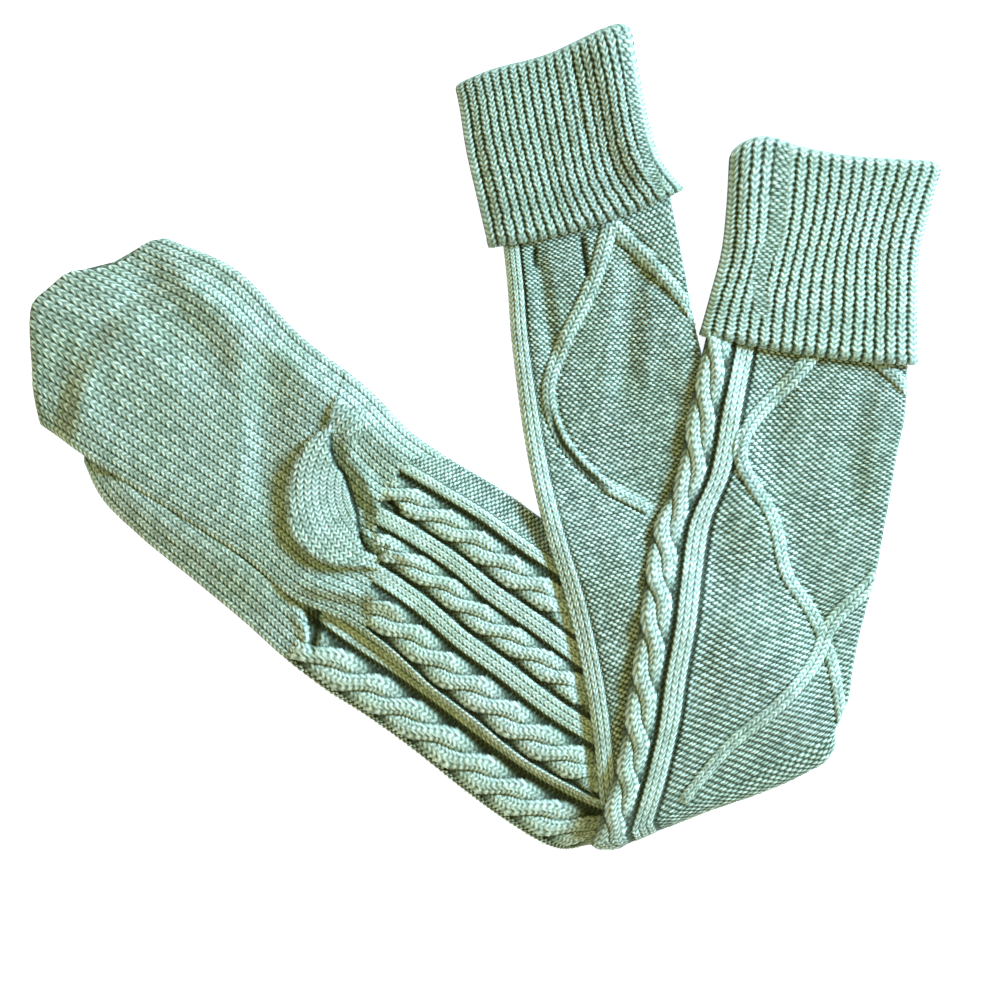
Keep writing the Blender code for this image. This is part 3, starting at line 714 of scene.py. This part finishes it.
def end_triangles(columns, upper_count):
    """Triangles that close the first row of a tube, between its upper side and its underside."""
    one = list(range(upper_count))
    two = list(range(columns - 1, upper_count - 1, -1))
    triangles = []
    i = j = 0
    while i < len(one) - 1 or j < len(two) - 1:
        if i < len(one) - 1 and (j == len(two) - 1 or (i + 1) / len(one) <= (j + 1) / len(two)):
            triangles.append((one[i], one[i + 1], two[j]))
            i += 1
        else:
            triangles.append((one[i], two[j + 1], two[j]))
            j += 1
    return triangles


def cloth_object(name, points, painted_shade, knit, upper_count, closed=False):
    """One object of a grid whose columns close round the tube, with its own map and attributes."""
    rows, columns = points.shape[:2]
    vertices = (points.reshape(-1, 3) - [ORIGIN[0], ORIGIN[1], 0.0]) * METRE
    r, c = np.meshgrid(np.arange(rows - 1), np.arange(columns), indexing="ij")
    r, c = r.ravel(), c.ravel()
    following = (c + 1) % columns
    near, near_next = r * columns + c, r * columns + following
    quads = np.stack([near, near_next, near_next + columns, near + columns], 1)
    corner = points.reshape(-1, 3)[quads]
    facing = np.cross(corner[:, 2] - corner[:, 0], corner[:, 3] - corner[:, 1])[:, 2]
    flipped = facing[c < upper_count - 1].sum() < 0
    u = np.stack([r, r, r + 1, r + 1], 1) / (rows - 1)
    v = np.stack([c, c + 1, c + 1, c], 1) / columns
    if flipped:
        quads, u, v = quads[:, ::-1], u[:, ::-1], v[:, ::-1]
    faces = [tuple(face) for face in quads.tolist()]
    extra = end_triangles(columns, upper_count) if closed else []
    mesh = bpy.data.meshes.new(name)
    mesh.from_pydata(vertices.tolist(), [], faces + extra)
    layer = mesh.uv_layers.new(name="OFBake")
    spare = np.zeros((len(extra) * 3, 2))
    spare[:, 0] = MAP_MARGIN / 2
    flat = np.stack([u.ravel(), v.ravel()], 1) * (1 - 2 * MAP_MARGIN) + MAP_MARGIN
    layer.data.foreach_set("uv", np.vstack([flat, spare]).astype(np.float32).ravel())
    beneath = np.zeros((rows, columns))
    beneath[:, upper_count:] = 1.0
    for label, values in (("painted_shade", painted_shade), ("wale", knit[0]), ("course", knit[1]), ("beneath", beneath)):
        data = mesh.attributes.new(label, "FLOAT", "POINT").data
        data.foreach_set("value", values.astype(np.float32).ravel())
    mesh.shade_smooth()
    mesh.validate()
    return placed(name, mesh)


def fold_rows(strip, stations, turns):
    """Where rows of points lie along a strip, and by how many degrees each turns over at its fold."""
    along = np.asarray(stations, float)
    degrees = np.zeros(len(along))
    if not turns:
        return along, degrees
    roll = np.linspace(90.0 / turns, 90.0, turns)
    if strip.fold_at > 0:
        return np.concatenate([along, np.full(turns, strip.fold_at)]), np.concatenate([degrees, roll])
    return np.concatenate([np.full(turns, 0.0), along]), np.concatenate([roll[::-1], degrees])


def round_tube(upper, edge, count):
    """Places across the upper side from left to right, then back across the underside."""
    edge = np.array(edge)
    under = np.unique(np.concatenate([edge, np.linspace(0.06, 0.94, count), 1 - edge]))[::-1]
    return np.concatenate([upper, under])


# Places on the underside beside a tube's edge, and how many lie between its two edges.
UNDER_EDGE = [0.0, 0.01, 0.022]
UNDER_BETWEEN = 9
# Cables that start before this place are shown all along.
EVERYWHERE = -50.0


def tube_piece(
    name,
    strip,
    knitting,
    stations,
    course,
    pitch=25.0,
    cables_from=EVERYWHERE,
    toe=False,
    turns=0,
    plain_chart=None,
    columns=None,
):
    """The skin of a flattened tube, stitch by stitch above and plain beneath."""
    along, degrees = fold_rows(strip, stations, turns)
    upper = (columns or knitting).across
    places = round_tube(upper, UNDER_EDGE, UNDER_BETWEEN)
    across = places[None, :] * np.ones((len(along), 1))
    station = along[:, None] * np.ones((1, across.shape[1]))
    x, y = strip.place(station, across)
    width = strip.width(station)
    gap = np.minimum(across, 1 - across) * width
    base = base_height(strip, x, y)
    sign = 1.0 if strip.fold_at > 0 else -1.0
    run = station + sign * ROLL_RADIUS * np.radians(degrees)[:, None]
    # What is knitted at each place: the rise of its column, and the height of its stitch.
    if strip is inner_out:
        cables_from = np.interp(across, CABLE_START_AT, CABLE_START)
    shown = smooth_step((station - cables_from) / CABLES_FADE_IN)
    wobbled = run + 0.5 * uneven(across * 9, run / 17, 1.0)
    gutters = np.ones(np.shape(station))
    if strip is inner_back:
        deepened = smooth_step((station - GUTTERS_DEEPEN_FROM) / GUTTERS_DEEPEN_OVER)
        gutters = SHALLOW_GUTTER + (1 - SHALLOW_GUTTER) * deepened
    broad, stitch = knitting.read(wobbled, across, course, pitch, shown, gutters)
    if plain_chart is not None:
        _, plain = plain_chart.read(wobbled, across, course, pitch, np.ones(np.shape(station)))
        stitch = np.where(shown > 0.5, stitch, plain)
    line_rise, line_stitch, line_share = line_relief(strip, x, y)
    stitch = stitch * (1 - line_share) + line_stitch * line_share
    covered = hidden(strip, x, y)
    if strip is inner_out:
        within, fanned = heel_stitches(x, y)
        stitch = np.where(within, fanned, stitch)
        broad = np.where(within, 0.0, broad)
    # The relief fades near the fold, under the cuff and at the tube's edges.
    folded, painted_pit_shade = fold_relief(strip, x, y)
    from_fold = smooth_step((np.abs(station - strip.fold_at) - 2.0) / NEAR_FOLD_REACH)
    on_fold = degrees[:, None] > 0
    broad = broad * (NEAR_FOLD + (1 - NEAR_FOLD) * from_fold) * (1 - (1 - ON_FOLD) * on_fold)
    relief = (broad + line_rise) * (1 - covered) + folded
    if strip.fold_at == 0:
        relief = relief * smooth_step((strip.length + 1.0 - station) / 2.5)
    relief = relief * smooth_step(gap / 3.0)
    height = np.maximum(edge_rise(gap, LEG_THICK) + relief, LEAST_SHARE * LEG_THICK)
    lift = UNDER_LIFT * LEG_THICK * (1 - smooth_step(gap / 2.5))
    is_upper = np.arange(across.shape[1])[None, :] < len(upper)
    rise = np.where(is_upper, height, lift)
    if toe:
        rise = rise * edge_rise(station, 1.0)
    x, y, z = turned_over(strip, x, y, base + rise, degrees[:, None], gap)
    points = np.stack([x, y, z], axis=2)
    outward = np.where(is_upper, 1.0, 0.0)
    size = np.where(is_upper, PURL_RISE * (1 - (1 - COVERED_STITCH) * covered), 0.0)
    points = displaced(points, outward, size * (stitch - STITCH_MIDDLE))
    # Painted shade: low stitches, gutters, narrow creases and pits are painted dark; raised stitches,
    # columns and cables are painted pale.
    painted_shade = np.clip(stitch + 0.12 * np.clip(broad, -1.5, 1.0), 0, 1.2) * (1 - 0.85 * painted_pit_shade)
    painted_shade = np.where(is_upper, painted_shade, UNDER_SHADE)
    return cloth_object(name, points, painted_shade, (across * width / WALE, run / course), len(upper), toe)


# The cuff's rim at the leg, from its inside out: how far along, share of the top's height, and the lift
# of the underside.
CUFF_RIM = [
    (3.0, 0.50, 0.6),
    (0.6, 0.50, 0.3),
    (-0.4, 0.57, 0.1),
    (-0.8, 0.68, 0.0),
    (-0.7, 0.78, 0.0),
    (-0.2, 0.87, 0.0),
    (0.6, 0.94, 0.0),
    (1.6, 0.98, 0.0),
]
# The lip inside the cuff's mouth, in the same way, but how far back from the mouth.
CUFF_LIP = [(0.0, 0.62, 2.6), (0.3, 0.57, 3.2), (1.2, 0.53, 3.8), (3.0, 0.51, 4.2), (9.0, 0.5, 4.4)]
CUFF_FROM = 2.8
CUFF_STEP = 0.6
PER_RIB = 10
CUFF_UNDER_EDGE = [0.0, 0.01, 0.025]
CUFF_UNDER_BETWEEN = 21
# A rib's knit column leaves this share of the rib free on each side.
RIB_GROOVE = 0.05


def cuff_rows(end):
    """A cuff's rows of points: its rim, its body, its rounded mouth, and the lip inside that."""
    body = [(place, 1.0, 0.0) for place in np.arange(CUFF_FROM, end - EDGE_ROUND, CUFF_STEP)]
    mouth = []
    for out in np.arange(EDGE_ROUND, 0.0, -0.5):
        share = math.sqrt(1 - (1 - out / EDGE_ROUND) ** 2)
        mouth.append((end - out, 0.66 + 0.34 * share, 2.4 * (1 - share)))
    lip = [(end - back, share, lift) for back, share, lift in CUFF_LIP]
    return np.array(CUFF_RIM + body + mouth + lip)


def ribbing(strip, ribs, seed, across, run, gap, x, y):
    """The rise and painted shade of a cuff's knitting at each place, and its rib and course there."""
    # Ribs that wander a little, with V stitches on them and bars of yarn across their grooves.
    shifted = across * ribs + 0.22 * uneven(across * 6, run / 26, seed) * smooth_step(gap / 8)
    shifted = shifted + 0.1 * uneven(across * ribs * 2.3, run / 2.2, seed + 4) * smooth_step(gap / 8)
    phase = shifted - np.floor(shifted)
    course = run / CUFF_COURSE + 0.5 * drawn(shifted, 0 * shifted, seed)
    arm = (phase - RIB_GROOVE) / (1 - 2 * RIB_GROOVE)
    knit = (arm > 0) & (arm < 1)
    centred = np.clip(arm * 2 - 1, -1, 1)
    bulge = np.clip(1 - centred**4, 0, 1) ** 0.6
    stitches = knit_stitch(np.clip(arm, 0.001, 0.999), course)
    bridge = (0.5 + 0.5 * np.cos(2 * math.pi * (course + 0.4))) ** 2 * (1 - bulge)
    column = RIB_RISE * bulge * (0.4 + 0.6 * stitches) + RIB_STITCH * stitches
    rise = np.where(knit, column, 0.0) + BRIDGE_RISE * bridge
    # Painted shade: nearly black in the grooves, paler on the bars of yarn across them and on the ribs'
    # stitches.
    painted_shade = np.where(knit, bulge**1.4 * (0.16 + 0.84 * stitches), 0.06) + 0.42 * bridge
    # A strip of irregular stitches runs up the cuff.
    line, half = MOSS[strip.name]
    moss = smooth_step((half + 0.8 - np.abs(beside(smooth_line(line), x, y)[0])) / 1.6)
    grain = purl_stitch(shifted * 1.3, run / MOSS_COURSE)
    rise = rise * (1 - moss) + (RIB_MIDDLE * RIB_RISE + MOSS_STITCH * grain) * moss
    painted_shade = painted_shade * (1 - moss) + (0.12 + 0.8 * grain) * moss
    return rise, painted_shade, shifted, course


def cuff_piece(name, strip, ribs, seed, painted_cuff_shade):
    """The skin of a turned-down cuff: ribs above, a thick rim at the leg and a parted mouth."""
    end = strip.length
    table = cuff_rows(end)
    upper = np.linspace(0.0, 1.0, ribs * PER_RIB + 1)
    places = round_tube(upper, CUFF_UNDER_EDGE, CUFF_UNDER_BETWEEN)
    across = places[None, :] * np.ones((len(table), 1))
    station = table[:, 0:1] * np.ones((1, across.shape[1]))
    # The mouth's corners are rounded, and the rim hangs a little past the first row.
    to_mouth = np.clip(1 - (end - station) / MOUTH_CORNER, 0, 1)
    inset = MOUTH_CORNER * (1 - np.sqrt(1 - to_mouth**2)) / strip.width(np.clip(station, 0, end))
    narrowed = 0.5 + (across - 0.5) * (1 - 2 * inset)
    x, y = strip.place(np.clip(station, 0, end), narrowed)
    low_x, low_y = strip.place(np.zeros_like(station), across)
    next_x, next_y = strip.place(np.full_like(station, 2.0), across)
    below = np.minimum(station, 0.0) / 2.0
    x, y = x + (next_x - low_x) * below, y + (next_y - low_y) * below
    width = strip.width(np.clip(station, 0, end))
    gap = np.minimum(across, 1 - across) * width
    is_upper = np.arange(across.shape[1])[None, :] < len(upper)
    sway = 0.5 * uneven(across * 7, station / 30, seed)
    folded, _ = fold_relief(strip, x, y)
    sway = (sway + folded) * smooth_step(gap / 6) * smooth_step((end - station) / 9.0)
    top = (edge_rise(gap, CUFF_THICK) + sway) * table[:, 1:2]
    bottom = 1.2 * (1 - smooth_step(gap / 2.5)) + table[:, 2:3]
    points = np.stack([x, y, np.where(is_upper, top, bottom)], axis=2)
    # The knitting follows the cloth's own length, and fades over the mouth.
    steps = np.linalg.norm(np.diff(points[:, len(upper) // 2], axis=0), axis=1)
    run = np.concatenate([[0.0], np.cumsum(steps)])[:, None] * np.ones((1, across.shape[1]))
    rise, painted_shade, shifted, course = ribbing(strip, ribs, seed, across, run, gap, x, y)
    # The painted shade fades to a middle value over the mouth, and each cuff's painted shade is scaled by
    # its own factor.
    near_mouth = 0.75 * smooth_step((station - end + 4.0) / 4.0)
    painted_shade = painted_cuff_shade * (painted_shade * (1 - near_mouth) + 0.5 * near_mouth)
    lipped = 1 - 0.85 * smooth_step((station - end + 7.0) / 7.0)
    rise = np.where(is_upper, rise - RIB_MIDDLE * RIB_RISE, 0.0) * smooth_step(gap / 1.5 + 0.3) * lipped
    points = displaced(points, np.where(is_upper, 1.0, 0.0), rise)
    painted_shade = np.where(is_upper, painted_shade, UNDER_SHADE)
    course = np.where(is_upper, course, run / CUFF_COURSE)
    return cloth_object(name, points, painted_shade, (shifted, course), len(upper))


def node_tree(material):
    """The nodes of a material, and its shader."""
    material.use_nodes = True
    tree = material.node_tree
    return tree, tree.nodes["Principled BSDF"]


def mix(tree, kind, factor, one, two):
    """A colour mix whose inputs may be sockets, colours or numbers."""
    node = tree.nodes.new("ShaderNodeMix")
    node.data_type = "RGBA"
    node.blend_type = kind
    for socket, value in ((node.inputs[0], factor), (node.inputs[6], one), (node.inputs[7], two)):
        if isinstance(value, bpy.types.NodeSocket):
            tree.links.new(value, socket)
        else:
            socket.default_value = value
    return node.outputs[2]


def noise(tree, coordinates, scale, detail, distortion=0.0):
    """A noise of 0 to 1, with `scale` waves to the metre."""
    node = tree.nodes.new("ShaderNodeTexNoise")
    node.inputs["Scale"].default_value = scale
    node.inputs["Detail"].default_value = detail
    node.inputs["Distortion"].default_value = distortion
    tree.links.new(coordinates, node.inputs["Vector"])
    return node.outputs["Fac"]


def ramp(tree, factor, stops):
    """A colour for each value of a factor, from a few stops."""
    node = tree.nodes.new("ShaderNodeValToRGB")
    band = node.color_ramp
    while len(band.elements) < len(stops):
        band.elements.new(0.5)
    for element, (place, colour) in zip(band.elements, stops):
        element.position = place
        element.color = colour
    tree.links.new(factor, node.inputs["Fac"])
    return node.outputs["Color"]


def maths(tree, operation, *values):
    """A sum on sockets or numbers."""
    node = tree.nodes.new("ShaderNodeMath")
    node.operation = operation
    for socket, value in zip(node.inputs, values):
        if isinstance(value, bpy.types.NodeSocket):
            tree.links.new(value, socket)
        else:
            socket.default_value = value
    return node.outputs[0]


def attribute(tree, name):
    """A value that the piece's own points carry."""
    node = tree.nodes.new("ShaderNodeAttribute")
    node.attribute_name = name
    return node.outputs["Fac"]


def plain_stitches(tree):
    """The height of plain V stitches, 0 to 1, for the side that the pair lies on: it sets the painted shade
    and the bump there.
    """
    turned = maths(tree, "MULTIPLY_ADD", maths(tree, "FRACT", attribute(tree, "wale")), 2.0, -1.0)
    reach = maths(tree, "ABSOLUTE", turned)
    row = maths(tree, "MULTIPLY_ADD", reach, -V_LEAN, attribute(tree, "course"))
    wave = maths(tree, "COSINE", maths(tree, "MULTIPLY", row, 2 * math.pi))
    leg = maths(tree, "MULTIPLY_ADD", wave, 0.33, 0.6)
    side = maths(tree, "SUBTRACT", 1.0, maths(tree, "POWER", reach, 5.0))
    return maths(tree, "MULTIPLY", leg, side)


def yarn_material():
    """Soft sage yarn with painted shade: nearly black between the stitches and pale on their tops, heathered
    along the fibres, with a pale nap.
    """
    material = bpy.data.materials.new("sage_yarn_knit")
    tree, surface = node_tree(material)
    place = tree.nodes.new("ShaderNodeTexCoord").outputs["Object"]
    beneath = attribute(tree, "beneath")
    stitches = plain_stitches(tree)
    painted_shade = attribute(tree, "painted_shade")
    # Painted shade: the colour runs from nearly black where stitches lie low to pale mint on their tops;
    # beneath, it follows the plain V stitches.
    painted_shade_colour = ramp(
        tree,
        maths(tree, "MULTIPLY_ADD", beneath, maths(tree, "SUBTRACT", stitches, painted_shade), painted_shade),
        (
            (0.0, (0.012, 0.020, 0.012, 1)),
            (0.26, (0.085, 0.125, 0.09, 1)),
            (0.56, (0.33, 0.45, 0.395, 1)),
            (0.95, (0.78, 0.96, 0.92, 1)),
        ),
    )
    heather = ramp(
        tree,
        noise(tree, place, 900.0, 3.0),
        ((0.3, (0.72, 0.74, 0.70, 1)), (0.7, (1.16, 1.14, 1.16, 1))),
    )
    patch = ramp(
        tree,
        noise(tree, place, 22.0, 2.0),
        ((0.35, (0.95, 0.97, 0.92, 1)), (0.65, (1.02, 1.01, 1.04, 1))),
    )
    colour = mix(tree, "MULTIPLY", 1.0, mix(tree, "MULTIPLY", 1.0, painted_shade_colour, heather), patch)
    tree.links.new(colour, surface.inputs["Base Color"])
    surface.inputs["Roughness"].default_value = 0.92
    surface.inputs["Specular IOR Level"].default_value = 0.25
    surface.inputs["Sheen Weight"].default_value = 0.25
    surface.inputs["Sheen Roughness"].default_value = 0.5
    surface.inputs["Sheen Tint"].default_value = (0.85, 1.0, 0.95, 1)
    fibre = noise(tree, place, 1700.0, 4.0, 0.6)
    bump = tree.nodes.new("ShaderNodeBump")
    bump.inputs["Strength"].default_value = 0.55
    bump.inputs["Distance"].default_value = 0.0004
    tree.links.new(fibre, bump.inputs["Height"])
    relief = tree.nodes.new("ShaderNodeBump")
    relief.inputs["Strength"].default_value = 0.8
    relief.inputs["Distance"].default_value = 0.0011
    tree.links.new(maths(tree, "MULTIPLY", beneath, stitches), relief.inputs["Height"])
    tree.links.new(relief.outputs["Normal"], bump.inputs["Normal"])
    tree.links.new(bump.outputs["Normal"], surface.inputs["Normal"])
    return material


yarn = yarn_material()


def dress(piece, nodes):
    """Puts a finished piece on its body, in the place of its solids."""
    piece.data.materials.append(yarn)
    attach(piece, "root")
    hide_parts(*nodes)


def evenly(start, end, step):
    """Places from start to end, about `step` apart."""
    return np.linspace(start, end, round((end - start) / step) + 1)


# The step from row to row of points: about a fifth of a course, and more where a piece is hidden.
CALF_STEP = 0.58
SHIN_STEP = 0.69
OUTER_FOOT_STEP = 0.6
OUTER_CALF_STEP = 0.66
OUTER_SHIN_STEP = 0.7
HIDDEN_STEP = 4.0
# How far the legs go on under the rims of their cuffs.
INNER_UNDER_CUFF = 3.5
OUTER_UNDER_CUFF = 3.0

foot_knitting = Knitting(FOOT_CHART)
foot_b_knitting = Knitting(FOOT_CHART, fine=(0.74, 1.0))
calf_knitting = Knitting(CALF_CHART)
outer_calf_knitting = Knitting(OUTER_CALF_CHART, fine=(0.58, 1.0))
shin_knitting = Knitting(INNER_SHIN_CHART)
outer_shin_knitting = Knitting(OUTER_SHIN_CHART)

foot_a = tube_piece(
    "sock_a_foot_knit",
    inner_out,
    calf_knitting,
    evenly(0.0, INNER_ANKLE, CALF_STEP),
    FOOT_COURSE,
    CALF_PITCH,
    toe=True,
    plain_chart=foot_knitting,
    columns=foot_knitting,
)
dress(foot_a, ["sock_a_foot"])
lower_a = tube_piece(
    "sock_a_lower_leg_knit",
    inner_out,
    calf_knitting,
    np.concatenate(
        [
            evenly(INNER_ANKLE, INNER_HIDDEN_FROM, CALF_STEP),
            evenly(INNER_HIDDEN_FROM + HIDDEN_STEP, inner_out.length, HIDDEN_STEP),
        ]
    ),
    FOOT_COURSE,
    CALF_PITCH,
    turns=5,
    plain_chart=foot_knitting,
)
dress(lower_a, ["sock_a_lower_leg"])
upper_a = tube_piece(
    "sock_a_upper_leg_knit",
    inner_back,
    shin_knitting,
    evenly(0.0, inner_back.length + INNER_UNDER_CUFF, SHIN_STEP),
    SHIN_COURSE,
    turns=10,
)
dress(upper_a, ["sock_a_upper_leg"])
# The inner cuff is painted 9% darker all over, as shade.
cuff_a = cuff_piece("sock_a_cuff_knit", inner_cuff, ribs=20, seed=1.3, painted_cuff_shade=0.91)
dress(cuff_a, ["sock_a_cuff"])

foot_b = tube_piece(
    "sock_b_foot_knit",
    outer_out,
    outer_calf_knitting,
    evenly(0.0, OUTER_ANKLE, OUTER_FOOT_STEP),
    FOOT_COURSE,
    OUTER_CALF_PITCH,
    OUTER_CABLES_FROM,
    toe=True,
    plain_chart=foot_knitting,
    columns=foot_b_knitting,
)
dress(foot_b, ["sock_b_foot"])
lower_b = tube_piece(
    "sock_b_lower_leg_knit",
    outer_out,
    outer_calf_knitting,
    evenly(OUTER_ANKLE, outer_out.length, OUTER_CALF_STEP),
    OUTER_CALF_COURSE,
    OUTER_CALF_PITCH,
    OUTER_CABLES_FROM,
    turns=10,
    plain_chart=foot_knitting,
)
dress(lower_b, ["sock_b_lower_leg"])
upper_b = tube_piece(
    "sock_b_upper_leg_knit",
    outer_back,
    outer_shin_knitting,
    evenly(0.0, outer_back.length + OUTER_UNDER_CUFF, OUTER_SHIN_STEP),
    OUTER_SHIN_COURSE,
    OUTER_SHIN_PITCH,
    turns=22,
)
dress(upper_b, ["sock_b_upper_leg"])
cuff_b = cuff_piece("sock_b_cuff_knit", outer_cuff, ribs=19, seed=2.9, painted_cuff_shade=1.0)
dress(cuff_b, ["sock_b_cuff"])

# The pale surface and its far rim, a low light from the upper right, and a camera straight above. From
# here on, lengths are in metres.
SURFACE_RADIUS = 12.0
SURFACE_RIM = 2.4
SURFACE_BELOW = 0.0008
SIDES = 64
corners = [2 * math.pi * side / SIDES for side in range(SIDES)]
ring = [(SURFACE_RADIUS * math.cos(turn), SURFACE_RADIUS * math.sin(turn)) for turn in corners]
mesh = bpy.data.meshes.new("surface")
mesh.from_pydata(
    [(x, y, 0.0) for x, y in ring] + [(x, y, SURFACE_RIM) for x, y in ring],
    [],
    [tuple(range(SIDES))]
    + [((side + 1) % SIDES, side, SIDES + side, SIDES + (side + 1) % SIDES) for side in range(SIDES)],
)
floor = placed("surface", mesh)
floor_material = bpy.data.materials.new("white_surface")
floor_tree, floor_surface = node_tree(floor_material)
floor_surface.inputs["Base Color"].default_value = (0.93, 0.93, 0.93, 1)
floor_surface.inputs["Roughness"].default_value = 0.9
floor_surface.inputs["Emission Color"].default_value = (0.74, 0.79, 0.95, 1)
floor_surface.inputs["Emission Strength"].default_value = 0.95
mesh.materials.append(floor_material)
floor.location.z = -SURFACE_BELOW

world = bpy.data.worlds.new("room")
bpy.context.scene.world = world
world.use_nodes = True
background = world.node_tree.nodes["Background"]
background.inputs["Color"].default_value = (1.0, 0.83, 0.28, 1)
background.inputs["Strength"].default_value = 0.54


def lamp(name, size, energy, colour, azimuth, height, far):
    """An area lamp that shines at the middle of the object."""
    light = bpy.data.lights.new(name, "AREA")
    light.size = size
    light.energy = energy
    light.color = colour
    item = placed(name, light)
    a, e = math.radians(azimuth), math.radians(height)
    item.location = (far * math.cos(a) * math.cos(e), far * math.sin(a) * math.cos(e), far * math.sin(e))
    item.rotation_euler = (math.pi / 2 - e, 0.0, a + math.pi / 2)


lamp("key", size=0.7, energy=108.0, colour=(0.68, 1.0, 1.26), azimuth=28.0, height=29.0, far=2.4)

# The picture is PICTURE_WIDTH wide at the height where most of the cloth's face lies.
PICTURE_WIDTH = 0.58
FACE_HEIGHT = 0.010
LENS = 135.0
SENSOR = 36.0
camera_data = bpy.data.cameras.new("camera")
camera = placed("camera", camera_data)
camera_data.sensor_width = SENSOR
camera_data.lens = LENS
camera.location = (0.00914, -0.0344, PICTURE_WIDTH * LENS / SENSOR + FACE_HEIGHT)
camera_data.clip_end = 20.0
bpy.context.scene.camera = camera
bpy.context.scene.view_settings.view_transform = "Standard"
